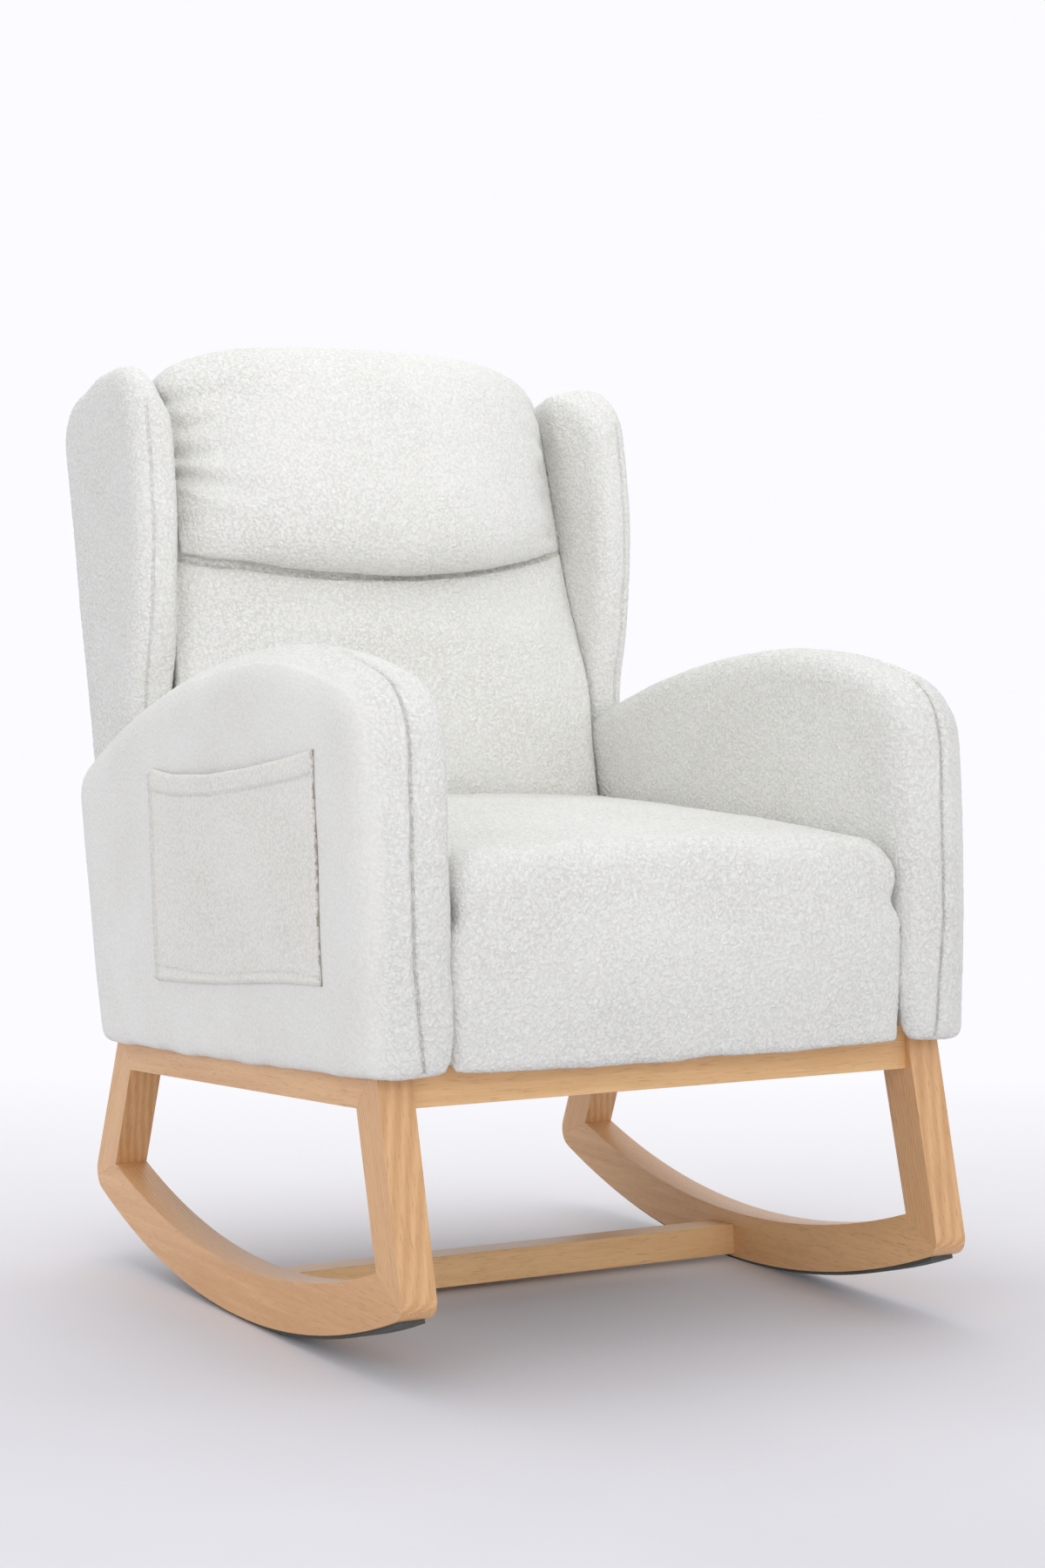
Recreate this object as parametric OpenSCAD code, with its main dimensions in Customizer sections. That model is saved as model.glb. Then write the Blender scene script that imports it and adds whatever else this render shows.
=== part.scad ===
// An upholstered rocking chair: a bare wood base with two mitred side frames on curved
// runners, and a wing-backed body with padded arms, a sewn-in head pillow and a side pocket.
// Front is -Y. Left (-X) and right (+X) are as seen from the front. The floor is z = 0.
// All sizes are first laid out with the side rails level, and rest() then tips the chair
// back about the centre of its runners' curve, to the tilt at which it stands.

/* [Posture] */
// Tilt at which the chair stands, in degrees, front raised
rest_tilt = 3.5; // [0:0.1:6]

/* [Side frames] */
// Thickness of every member of a side frame
frame_t = 37; // [30:0.5:42]
// Radius of the runners' wooden underside
rocker_r = 986; // [900:1:1150]
// Depth of a runner, measured upright
runner_d = 50; // [40:1:60]
// Height of the rails' underside over the low point of the runners
rail_z = 233; // [220:1:250]
// Depth of the side rails and aprons
rail_d = 46; // [40:1:56]
// How far the side rail reaches forward of the middle of the curve
rail_front = 264; // [245:1:275]
// How far the side rail reaches back from the middle of the curve
rail_rear = 355; // [340:1:370]
// Width of the front leg along the rail's underside
front_leg_w = 49.5; // [42:0.5:56]
// Width of the rear leg along the rail's underside
rear_leg_w = 49.5; // [42:0.5:56]
// Lean of the front leg's front face, in degrees
front_lean = 10.7; // [6:0.1:14]
// Lean of the front leg's back face, in degrees
front_inner_lean = 12.2; // [6:0.1:15]
// Lean of the rear leg's back face, in degrees
rear_lean = 26.3; // [20:0.1:29]
// Lean of the rear leg's front face, in degrees
rear_inner_lean = 25; // [20:0.1:29]
// Radius of the runner's front tip
toe_r = 17; // [8:1:24]
// Radius of the runner's rear tip
heel_r = 22; // [8:1:28]

/* [Cross members] */
// Thickness of the aprons
apron_t = 25; // [18:1:32]
// Set-back of the front apron from the rail's front end
apron_setback = 2; // [0:0.5:8]
// Depth of the stretcher from front to back
stretcher_w = 43; // [30:1:55]
// Thickness of the stretcher
stretcher_t = 33; // [24:1:40]
// Place of the stretcher behind the low point of the runners
stretcher_y = 61; // [20:1:110]
// Leg length of the triangular corner blocks
block_l = 48; // [30:1:60]

/* [Felt strips] */
// Thickness of the felt under the runners
felt_t = 4; // [2:0.5:6]
// Width of the felt strips
felt_w = 27; // [18:1:30]

/* [Fixings] */
// Diameter of the dowels
dowel_d = 10; // [8:1:12]
// Length of the dowels
dowel_l = 40; // [30:1:44]
// Diameter of the bolts that hold the body on the base
bolt_d = 8; // [6:1:10]
// Length of those bolts under the head
bolt_l = 58; // [50:1:62]

/* [Body] */
// Clear width between the arms
seat_w = 510; // [480:1:540]
// Thickness of an arm
arm_w = 90; // [82:1:100]
// How far an arm stands proud of the side frame
arm_reveal = 22.5; // [18:0.5:28]
// How far the body reaches forward of the rail's front end
front_over = 48; // [40:1:56]
// How far the body reaches back from the rail's rear end
rear_over = 33; // [26:1:40]
// Recline of the body's rear plane, in degrees
rear_recline = 10.65; // [8:0.05:13]
// How far the covers reach down past the top of the rails
skirt = 12; // [6:1:18]

/* [Arms] */
// Height of the arm crown over the rails
arm_rise = 395; // [360:1:420]
// Place of the arm crown behind the arm's front
crown_y = 259; // [230:1:300]
// Radius of the arm's top line in front of the crown
crown_front_r = 598; // [500:1:700]
// Radius of the arm's top line behind the crown
crown_rear_r = 1135; // [1000:1:1300]
// Radius of the arm's front top corner
arm_nose_r = 75; // [50:1:90]
// Radius of the arm's rear top corner
arm_heel_r = 44; // [42:1:60]
// Radius along the arm's outer edge
arm_outer_r = 38; // [26:1:40]
// Radius along the arm's inner edge
arm_inner_r = 24; // [14:1:30]
// Thickness of the padding and board round an arm
arm_pad_t = 16; // [12:1:18]
// Thickness of the wooden arm frame
arm_frame_t = 25; // [20:1:28]

/* [Seat] */
// Height of the seat's front top edge over the rails
seat_front_rise = 191; // [170:1:205]
// Height of the seat's rear top edge over the rails
seat_rear_rise = 242; // [225:1:260]
// Crown of the seat in the middle
seat_crown = 16; // [0:1:24]
// Radius of the seat's front top edge
seat_nose_r = 38; // [24:1:48]
// Depth of the seat rails of the body frame
seat_rail_h = 62; // [50:1:70]
// Thickness of the seat's front rail
seat_rail_t = 40; // [25:1:42]
// Diameter of the spring wire
wire_d = 3.8; // [3:0.1:4.5]
// Number of seat springs
spring_n = 4; // [3:1:5]

/* [Back] */
// Place of the back's front plane where it meets the seat, from the middle of the curve
back_y = 262; // [250:1:275]
// Recline of the back's front plane, in degrees
back_recline = 14.7; // [12:0.1:17]
// Height of the back over the rails
back_rise = 706; // [690:1:730]
// Thickness of the back cushion at its edges
back_t = 18; // [14:1:30]
// Crown of the back cushion in the middle
back_crown = 28; // [10:1:34]
// Thickness of the back cushion's padding, which is dished behind its crown
back_wall = 9; // [6:0.5:12]
// Thickness of the board and cover down the outside of the back
board_t = 3; // [2.5:0.5:6]
// Height of the lowest back rail over the seat rails
back_rail_low = 40; // [30:1:70]
// Height of the middle back rail over the base rails
back_rail_mid = 400; // [360:5:440]
// Drop of the top back rail's lower edge under the top of the back
back_rail_drop = 58; // [52:1:80]
// Distance of the outer straps' middles from the sides of the seat
web_edge = 75; // [60:1:95]
// Depth of the back stiles
stile_d = 32; // [26:1:44]
// Thickness of the back stiles
stile_t = 16; // [14:1:18]

/* [Wings] */
// Height of the wing's top over the rails
wing_rise = 727; // [710:1:745]
// Place of the wing's nose from the middle of the curve
wing_nose_y = 278; // [265:1:290]
// Height of the wing's nose over the rails
wing_nose_rise = 559; // [530:1:580]
// Radius of the wing's front edge line
wing_nose_r = 554; // [480:1:640]
// Radius of the wing's front top corner
wing_front_r = 66; // [50:1:75]
// Radius of the wing's rear top corner
wing_rear_r = 56; // [40:1:65]
// Radius along the wing's outer edge
wing_outer_r = 20; // [12:1:24]
// Radius along the wing's inner edge
wing_inner_r = 14; // [8:1:18]
// Thickness of the padding round a wing
wing_pad_t = 8; // [6:1:12]

/* [Head pillow] */
// Height of the head pillow
pillow_h = 276; // [250:1:300]
// Thickness of the head pillow
pillow_t = 186; // [150:1:200]
// Height of the pillow's top over the top of the back
pillow_rise = 61; // [50:1:75]
// How far the pillow's middle stands in front of the back's plane
pillow_set = 25; // [18:1:34]
// Gap between the pillow's ends and the wings
pillow_side = 15; // [5:0.5:20]
// How far the pillow's top drops at its sides
pillow_shoulder = 66; // [50:1:90]
// How far the pillow's lower edge rises at its sides
pillow_smile = 34; // [0:1:50]
// How far the pillow turns over the top of the back
pillow_turn = 72; // [50:1:80]
// Thickness of the pillow's wadding
pillow_wall = 7; // [5:1:16]

/* [Side pocket] */
// Width of the pocket
pocket_w = 398; // [340:1:420]
// Depth of the pocket
pocket_h = 214; // [170:1:240]
// Place of the pocket's front edge behind the arm's front
pocket_y = 107; // [90:1:130]
// Height of the pocket's bottom edge over the rails
pocket_rise = 61; // [45:1:80]
// How far the pocket stands off the arm
pocket_bulge = 8; // [7:0.5:10]
// Thickness of the pocket cloth
pocket_t = 2.2; // [2:0.1:3]
// Sag of the pocket's mouth
pocket_sag = 13; // [4:1:20]

/* [Hidden] */

// Clearance of a soft piece from its neighbour
gap = 0.3;
// Room round a dowel or bolt
bore_gap = 0.2;
// A length well past the whole chair
far = 2000;
big_fn = 240;

rail_top = rail_z + rail_d;
skirt_z = rail_top - skirt;
arm_in = seat_w / 2;
arm_out = arm_in + arm_w;
frame_out = arm_out - arm_reveal;
frame_in = frame_out - frame_t;
body_front = -rail_front - front_over;
body_rear = rail_rear + rear_over;

// Body's rear plane and the back's front plane, as places at a height
function rear_at(z) = body_rear + (z - rail_top) * tan(rear_recline);
function back_at(z) = back_y + (z - seat_rear_z) * tan(back_recline);
seat_rear_z = rail_top + seat_rear_rise;
seat_front_z = rail_top + seat_front_rise;
back_top = rail_top + back_rise;

// The side frame's four corners, inner and outer, as [y, z]
curve_c = [0, rocker_r];
curve_top_c = [0, rocker_r + runner_d];
a_out = [-rail_front, rail_top];
b_out = [rail_rear, rail_top];
function front_line(z) = -rail_front - (rail_top - z) * tan(front_lean);
function rear_line(z) = rail_rear + (rail_top - z) * tan(rear_lean);
a_in = [front_line(rail_z) + front_leg_w, rail_z];
b_in = [rear_line(rail_z) - rear_leg_w, rail_z];
// Distance down a line from p along d to a circle of radius r round o
function reach(p, d, o, r) = let (w = p - o, b = w * d) -b + sqrt(b * b - w * w + r * r);
function meet(p, d, o, r) = p + reach(p, d, o, r) * d;
front_dir = [-sin(front_lean), -cos(front_lean)];
front_in_dir = [-sin(front_inner_lean), -cos(front_inner_lean)];
rear_dir = [sin(rear_lean), -cos(rear_lean)];
rear_in_dir = [sin(rear_inner_lean), -cos(rear_inner_lean)];
toe_out = meet(a_out, front_dir, curve_c, rocker_r);
heel_out = meet(b_out, rear_dir, curve_c, rocker_r);
toe_in = meet(a_in, front_in_dir, curve_top_c, rocker_r);
heel_in = meet(b_in, rear_in_dir, curve_top_c, rocker_r);
// Centres of the two tips, each touching its leg's outer face and the rocking curve
toe_c = meet(a_out + toe_r * [cos(front_lean), -sin(front_lean)], front_dir, curve_c, rocker_r - toe_r);
heel_c = meet(b_out + heel_r * [-cos(rear_lean), -sin(rear_lean)], rear_dir, curve_c, rocker_r - heel_r);
toe_a = atan2(toe_c[1] - rocker_r, toe_c[0]) + 360;
heel_a = atan2(heel_c[1] - rocker_r, heel_c[0]);

function arc(c, r, a0, a1, n) = [for (i = [0:n]) let (a = a0 + (a1 - a0) * i / n) c + r * [cos(a), sin(a)]];
// A point past q on the line from p
function past(p, q, k) = p + k * (q - p);

// Lays a flat y-z outline upright as a plate between two widths
module upright(x0, x1) {
    translate([x0, 0, 0]) rotate([90, 0, 90]) linear_extrude(x1 - x0) children();
}
module left() { mirror([1, 0, 0]) children(); }

// Tips the levelled chair about the centre of the rocking curve and sets it over the origin
low_front = tipped([toe_c[0] - toe_r, toe_c[1]])[0];
high_rear = tipped([rear_at(rail_top + wing_rise - wing_rear_r), rail_top + wing_rise - wing_rear_r])[0];
centre_shift = -(low_front + high_rear) / 2;
function tipped(p) = [p[0] * cos(rest_tilt) + (p[1] - rocker_r) * sin(rest_tilt),
    rocker_r + (p[1] - rocker_r) * cos(rest_tilt) - p[0] * sin(rest_tilt)];
module rest() {
    translate([0, centre_shift, rocker_r + felt_t]) rotate([-rest_tilt, 0, 0])
        translate([0, 0, -rocker_r]) children();
}

// Side frame: outer outline, with the tips rounded, and the window inside it
module frame_outline() {
    tangent = 200;
    intersection() {
        translate(curve_c) circle(rocker_r, $fn = big_fn);
        polygon(concat(
            [b_out, a_out],
            arc(toe_c, toe_r, 180 - front_lean, toe_a, 6),
            [toe_c + toe_r * [cos(toe_a), sin(toe_a)] + tangent * [-sin(toe_a), cos(toe_a)]],
            [heel_c + heel_r * [cos(heel_a), sin(heel_a)] + tangent * [sin(heel_a), -cos(heel_a)]],
            arc(heel_c, heel_r, heel_a, rear_lean, 6)
        ));
    }
}
module frame_window() {
    intersection() {
        translate(curve_top_c) circle(rocker_r, $fn = big_fn);
        polygon([a_in, b_in, past(b_in, heel_in, 1.5), past(a_in, toe_in, 1.5)]);
    }
}
module frame_ring() {
    difference() {
        frame_outline();
        frame_window();
    }
}
// The four members meet along mitre lines from the window's corners to the outer corners
inward = -0.3;
outward = 2.2;
module runner_part() {
    intersection() {
        frame_ring();
        polygon([past(toe_in, toe_out, inward), past(toe_in, toe_out, outward), [-far / 4, -far / 20],
            [far / 4, -far / 20], past(heel_in, heel_out, outward), past(heel_in, heel_out, inward)]);
    }
}
module front_leg_part() {
    intersection() {
        frame_ring();
        polygon([past(a_in, a_out, inward), past(a_in, a_out, outward), [-far / 4, rail_z / 2],
            past(toe_in, toe_out, outward), past(toe_in, toe_out, inward)]);
    }
}
module rear_leg_part() {
    intersection() {
        frame_ring();
        polygon([past(b_in, b_out, inward), past(b_in, b_out, outward), [far / 3, rail_z],
            past(heel_in, heel_out, outward), past(heel_in, heel_out, inward)]);
    }
}
module rail_part() {
    intersection() {
        frame_ring();
        polygon([past(a_in, a_out, inward), past(a_in, a_out, outward), past(b_in, b_out, outward),
            past(b_in, b_out, inward)]);
    }
}

// Dowels across the side frames' inner faces: a list of [y, z]
front_apron_y = -rail_front + apron_setback;
rear_apron_y = rail_rear - apron_setback - apron_t - 8;
dowel_step = 24;
stretcher_z = 5;
apron_dowels = [for (y = [front_apron_y, rear_apron_y]) for (k = [-1, 1])
    [y + apron_t / 2, rail_z + rail_d / 2 + k * dowel_step / 2]];
stretcher_dowels = [for (k = [-1, 1])
    [stretcher_y + stretcher_w / 2 + k * dowel_step / 2, stretcher_z + stretcher_t / 2]];
module dowel(p, d, l) {
    translate([frame_in - l / 2, p[0], p[1]]) rotate([0, 90, 0]) cylinder(h = l, d = d, $fn = 48);
}
module dowel_bores(list) {
    for (p = list) dowel(p, dowel_d + 2 * bore_gap, dowel_l + 2);
}

module right_runner_solid() {
    difference() {
        upright(frame_in, frame_out) runner_part();
        dowel_bores(stretcher_dowels);
    }
}
module right_front_leg_solid() {
    difference() {
        upright(frame_in, frame_out) front_leg_part();
        dowel_bores(apron_dowels);
    }
}
module right_rear_leg_solid() {
    difference() {
        upright(frame_in, frame_out) rear_leg_part();
        dowel_bores(apron_dowels);
    }
}
// Bolts come up through the rail into the arm frame, with their heads in counterbores
bolt_x = frame_out - arm_frame_t / 2;
bolt_ys = [-150, 245];
head_d = 1.7 * bolt_d;
head_h = 0.55 * bolt_d;
counterbore = 14;
module bolt_places() {
    for (y = bolt_ys) translate([bolt_x, y, rail_z]) children();
}
module right_side_rail_solid() {
    difference() {
        upright(frame_in, frame_out) rail_part();
        dowel_bores(apron_dowels);
        bolt_places() {
            translate([0, 0, -1]) cylinder(h = rail_d + 2, d = bolt_d + 1, $fn = 48);
            translate([0, 0, -1]) cylinder(h = counterbore + 1, d = head_d + 4, $fn = 48);
        }
    }
}
module right_bolts() {
    bolt_places() translate([0, 0, counterbore - head_h]) {
        cylinder(h = head_h, d = head_d, $fn = 48);
        cylinder(h = head_h + bolt_l, d = bolt_d, $fn = 48);
    }
}
module felt_strip() {
    a0 = toe_a - 360 + asin(4 / rocker_r);
    a1 = heel_a - asin(4 / rocker_r);
    upright(frame_out - frame_t / 2 - felt_w / 2, frame_out - frame_t / 2 + felt_w / 2)
        intersection() {
            difference() {
                translate(curve_c) circle(rocker_r + felt_t, $fn = big_fn);
                translate(curve_c) circle(rocker_r, $fn = big_fn);
            }
            polygon([curve_c, curve_c + far * [cos(a0), sin(a0)], curve_c + far * [0, -1.2],
                curve_c + far * [cos(a1), sin(a1)]]);
        }
}
module cross_bar(y, z, w, h) {
    translate([-frame_in, y, z]) cube([2 * frame_in, w, h]);
}
module apron(y) {
    difference() {
        cross_bar(y, rail_z, apron_t, rail_d);
        dowel_bores(apron_dowels);
        left() dowel_bores(apron_dowels);
    }
}

module left_runner() { color("#c99a6b") rest() left() right_runner_solid(); }
module right_runner() { color("#c99a6b") rest() right_runner_solid(); }
module left_front_leg() { color("#d9ad7e") rest() left() right_front_leg_solid(); }
module right_front_leg() { color("#d9ad7e") rest() right_front_leg_solid(); }
module left_rear_leg() { color("#c99a6b") rest() left() right_rear_leg_solid(); }
module right_rear_leg() { color("#c99a6b") rest() right_rear_leg_solid(); }
module left_side_rail() { color("#cfa274") rest() left() right_side_rail_solid(); }
module right_side_rail() { color("#cfa274") rest() right_side_rail_solid(); }
module front_apron() { color("#d9ad7e") rest() apron(front_apron_y); }
module rear_apron() { color("#c99a6b") rest() apron(rear_apron_y); }
module stretcher() {
    color("#d9ad7e") rest() difference() {
        cross_bar(stretcher_y, stretcher_z, stretcher_w, stretcher_t);
        dowel_bores(stretcher_dowels);
        left() dowel_bores(stretcher_dowels);
    }
}
block_top = rail_top - 5;
module corner_block(y, turn) {
    translate([frame_in, y, rail_z + 3]) linear_extrude(block_top - rail_z - 3)
        polygon([[0, 0], [-block_l, 0], [0, turn * block_l]]);
}
module corner_blocks() {
    color("#c4a27c") rest() for (m = [0, 1]) mirror([m, 0, 0]) {
        corner_block(front_apron_y + apron_t, 1);
        corner_block(rear_apron_y, -1);
    }
}
module base_dowels() {
    color("#d8c09a") rest() for (m = [0, 1]) mirror([m, 0, 0])
        for (p = concat(apron_dowels, stretcher_dowels)) dowel(p, dowel_d, dowel_l);
}
module left_felt_strip() { color("#4f564f") rest() left() felt_strip(); }
module right_felt_strip() { color("#4f564f") rest() felt_strip(); }
module body_bolts() {
    color("#8f9296") rest() {
        right_bolts();
        left() right_bolts();
    }
}

// Arm: side profile from arcs under a crowned top line, every arc drawn in by the same inset
arm_top = rail_top + arm_rise;
crown = body_front + crown_y;
front_kick = 11;
front_kick_z = skirt_z + 133;
profile_foot = skirt_z - 60;
crown_front_c = [crown, arm_top - crown_front_r];
crown_rear_c = [crown, arm_top - crown_rear_r];
// Upward direction of the body's rear plane, and the direction square to it, into the body
rear_up = [sin(rear_recline), cos(rear_recline)];
rear_in = [-cos(rear_recline), sin(rear_recline)];
arm_nose_c = [body_front + arm_nose_r,
    crown_front_c[1] + sqrt(pow(crown_front_r - arm_nose_r, 2) - pow(crown_y - arm_nose_r, 2))];
arm_heel_c = meet([body_rear, rail_top] + arm_heel_r * rear_in, rear_up, crown_rear_c,
    crown_rear_r - arm_heel_r);
function angle(v) = atan2(v[1], v[0]);
function arm_points(inset) = let (
    a = angle(arm_nose_c - crown_front_c),
    b = angle(arm_heel_c - crown_rear_c),
    foot = [rear_at(profile_foot), profile_foot] + inset * [-1 / cos(rear_recline), 0]) concat(
    [foot],
    arc(arm_heel_c, arm_heel_r - inset, -rear_recline, b - 8, 5),
    arc(crown_rear_c, crown_rear_r - inset, b, 90 - 4, 5),
    arc(crown_front_c, crown_front_r - inset, 90, a - 4, 4),
    arc(arm_nose_c, arm_nose_r - inset, a, 180, 7),
    [[body_front + inset, front_kick_z], [body_front + 2 * front_kick + inset, profile_foot]]);
module arm_profile(inset) { polygon(arm_points(inset)); }

// Soft forms are skinned over rings of [y, z] points, one ring at each place across
module skin(xs, rings) {
    n = len(rings[0]);
    m = len(rings);
    polyhedron(
        points = [for (i = [0:m - 1]) for (p = rings[i]) [xs[i], p[0], p[1]]],
        faces = concat(
            [[for (j = [0:n - 1]) j]],
            [for (i = [0:m - 2]) for (j = [0:n - 1]) let (k = (j + 1) % n)
                [i * n + j, (i + 1) * n + j, (i + 1) * n + k]],
            [for (i = [0:m - 2]) for (j = [0:n - 1]) let (k = (j + 1) % n)
                [i * n + j, (i + 1) * n + k, i * n + k]],
            [[for (j = [n - 1:-1:0]) (m - 1) * n + j]]));
}
// Places across a plate with rounded edges, and the inset of its outline at each
edge_as = [90, 60, 35, 15, 0];
function edge_xs(x0, r0, x1, r1) = concat(
    [for (a = edge_as) x0 + r0 * (1 - sin(a))],
    [for (i = [4:-1:0]) x1 - r1 * (1 - sin(edge_as[i]))]);
function edge_insets(r0, r1) = concat(
    [for (a = edge_as) r0 * (1 - cos(a))], [for (i = [4:-1:0]) r1 * (1 - cos(edge_as[i]))]);
module arm_block(grow) {
    skin(edge_xs(arm_in - grow, arm_inner_r, arm_out + grow, arm_outer_r),
        [for (e = edge_insets(arm_inner_r, arm_outer_r)) arm_points(e - grow)]);
}
module arm_form() {
    difference() {
        arm_block(0);
        translate([0, -far / 2, skirt_z - far]) cube([far, far, far]);
    }
}
module arm_pad_form() {
    difference() {
        arm_form();
        // Hollow round the arm frame
        intersection() {
            upright(arm_in + arm_pad_t, arm_out - arm_pad_t) arm_profile(arm_pad_t);
            translate([0, -far / 2, rail_top + arm_pad_t]) cube([far, far, far]);
        }
        // Room for the side rail, the arm frame's foot and the seat rails
        translate([arm_in - 1, body_front + arm_pad_t, skirt_z - 1])
            cube([frame_out + gap - arm_in + 1, far, skirt + arm_pad_t + 2]);
        translate([arm_in - 1, body_front + arm_pad_t, skirt_z - 1])
            cube([arm_pad_t + 2, far, deck_z - skirt_z + 1]);
        back_bay(arm_in - 1, arm_in + arm_pad_t + gap);
        stile(gap);
        outside_back_form(gap);
    }
}
// Space behind the back cushion, from one width to another
bay_top = back_top - 16;
module back_bay(x0, x1) {
    upright(x0, x1) polygon([
        [back_at(rail_top) + back_t - gap, rail_top], [far, rail_top],
        [far, bay_top], [back_at(bay_top) + back_t - gap, bay_top]]);
}
deck_z = rail_top + seat_rail_h + wire_d + 3;

// Arm frame: a ring of timber that follows the padding's inside
arm_frame_w = 42;
module arm_frame_solid() {
    difference() {
        intersection() {
            upright(frame_out - arm_frame_t, frame_out) difference() {
                arm_profile(arm_pad_t + gap);
                intersection() {
                    offset(delta = -arm_frame_w) arm_profile(arm_pad_t + gap);
                    translate([-far / 2, rail_top + arm_frame_w]) square(far);
                }
            }
            translate([0, -far / 2, rail_top]) cube([far, far, far]);
        }
        bolt_places() cylinder(h = counterbore + bolt_l + 3, d = bolt_d + 2 * bore_gap, $fn = 48);
    }
}
module left_arm_frame() { color("#cdb48c") rest() left() arm_frame_solid(); }
module right_arm_frame() { color("#cdb48c") rest() arm_frame_solid(); }
module left_arm_pad() { color("#e9e6e0") rest() left() arm_pad_form(); }
module right_arm_pad() { color("#e9e6e0") rest() arm_pad_form(); }

// Seat rails of the body frame, between the arm frames
seat_rail_x = frame_out - arm_frame_t;
seat_front_y = body_front + 28;
seat_rail_top = rail_top + seat_rail_h;
back_rail_w = 40;
back_rail_t = 18;
web_t = 2;
back_fit = back_t + gap + web_t;
stile_y = back_fit + back_rail_t;
seat_rear_y = back_at(seat_rail_top) + stile_y;
seat_rear_t = 25;
module seat_front_rail() {
    color("#c8ab80") rest() translate([-seat_rail_x, seat_front_y, rail_top])
        cube([2 * seat_rail_x, seat_rail_t, seat_rail_h]);
}
module seat_rear_rail() {
    color("#c8ab80") rest() translate([-seat_rail_x, seat_rear_y, rail_top])
        cube([2 * seat_rail_x, seat_rear_t, seat_rail_h]);
}
// Springs: flat zigzag wire from the front rail to the rear rail
spring_w = 44;
spring_pitch = 44;
spring_z = seat_rail_top;
spring_y0 = seat_front_y + seat_rail_t / 2;
spring_y1 = seat_rear_y + seat_rear_t / 2;
function spring_line(t, off) = let (
    n = round((spring_y1 - spring_y0) / spring_pitch),
    y = spring_y0 + (spring_y1 - spring_y0) * t,
    x = spring_w / 2 * sin(360 * n * t),
    dx = spring_w / 2 * 360 * n * cos(360 * n * t) * PI / 180,
    dy = spring_y1 - spring_y0,
    l = norm([dx, dy])) [x + off * dy / l, y - off * dx / l];
spring_steps = 8 * round((spring_y1 - spring_y0) / spring_pitch);
module spring() {
    linear_extrude(wire_d) polygon(concat(
        [for (i = [0:spring_steps]) spring_line(i / spring_steps, wire_d / 2)],
        [for (i = [spring_steps:-1:0]) spring_line(i / spring_steps, -wire_d / 2)]));
}
spring_span = seat_w - 120;
function spring_x(i) = spring_span * (i / (spring_n - 1) - 0.5);
module seat_springs() {
    color("#7d8085") rest() for (i = [0:spring_n - 1]) translate([spring_x(i), 0, spring_z]) spring();
}
clip_w = spring_w + 2 * wire_d + 2;
clip_l = 14;
clip_t = 1.6;
module spring_clip() {
    difference() {
        translate([-clip_w / 2, -clip_l / 2, 0]) cube([clip_w, clip_l, wire_d + gap + clip_t]);
        translate([-clip_w / 2 + clip_t, -clip_l / 2 - 1, -1])
            cube([clip_w - 2 * clip_t, clip_l + 2, wire_d + gap + 1]);
    }
}
module spring_clips() {
    color("#9a9da1") rest() for (i = [0:spring_n - 1], y = [spring_y0, spring_y1])
        translate([spring_x(i), y, spring_z]) spring_clip();
}
module spring_cover() {
    color("#b9a37c") rest() translate([-seat_w / 2 + 2, spring_y0 + clip_l, spring_z + wire_d])
        cube([seat_w - 4, spring_y1 - spring_y0 - 2 * clip_l, 2.6]);
}
module dust_cover() {
    color("#3f3f42") rest() translate([-frame_in + 1, front_apron_y + apron_t + 1, rail_top - 1.5])
        cube([2 * frame_in - 2, rear_apron_y - front_apron_y - apron_t - 2, 1.5]);
}

// Back frame: three rails behind the cushion, along its rear plane, lapped on two stiles
function bar(z0, z1, d0, d1) = [[back_at(z0) + d0, z0], [back_at(z0) + d1, z0], [back_at(z1) + d1, z1],
    [back_at(z1) + d0, z1]];
module stile(grow) {
    upright(seat_rail_x - stile_t - grow, seat_rail_x + grow)
        polygon(bar(seat_rail_top, bay_top, stile_y - grow, stile_y + stile_d + grow));
}
rail_hs = [seat_rail_top + back_rail_low, rail_top + back_rail_mid, back_top - back_rail_drop];
module back_frame() {
    color("#c8ab80") rest() {
        stile(0);
        left() stile(0);
        for (z = rail_hs) upright(-seat_rail_x, seat_rail_x)
            polygon(bar(z, z + back_rail_w, back_fit, stile_y));
    }
}
// Webbing: straps stretched up the front of the rails
web_n = 5;
web_w = 50;
web_span = seat_w - 2 * web_edge;
module back_webbing() {
    color("#6d5f4b") rest() for (i = [0:web_n - 1]) let (x = web_span * (i / (web_n - 1) - 0.5))
        upright(x - web_w / 2, x + web_w / 2)
            polygon(bar(rail_hs[0], rail_hs[2] + back_rail_w, back_t + gap, back_fit));
}

// Wing: side profile from arcs, then rounded along both edges
wing_out = frame_out;
wing_top = rail_top + wing_rise;
wing_nose = [wing_nose_y + wing_nose_r, rail_top + wing_nose_rise];
wing_foot = arm_top - 130;
wing_front_c = [wing_nose_y + 9 + wing_front_r, wing_top - wing_front_r];
wing_rear_c = [rear_at(wing_top - wing_rear_r - 13) - wing_rear_r - 1, wing_top - wing_rear_r - 13];
function wing_points(inset) = concat(
    [[rear_at(wing_foot) - inset / cos(rear_recline), wing_foot]],
    arc(wing_rear_c, wing_rear_r - inset, -rear_recline, 78, 7),
    arc(wing_front_c, wing_front_r - inset, 84, 168, 7),
    arc(wing_nose, wing_nose_r - inset, 173, 180 + asin((wing_nose[1] - wing_foot) / wing_nose_r), 9));
module wing_profile(inset) { polygon(wing_points(inset)); }
module wing_form() {
    skin(edge_xs(arm_in, wing_inner_r, wing_out, wing_outer_r),
        [for (e = edge_insets(wing_inner_r, wing_outer_r)) wing_points(e)]);
}
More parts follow.
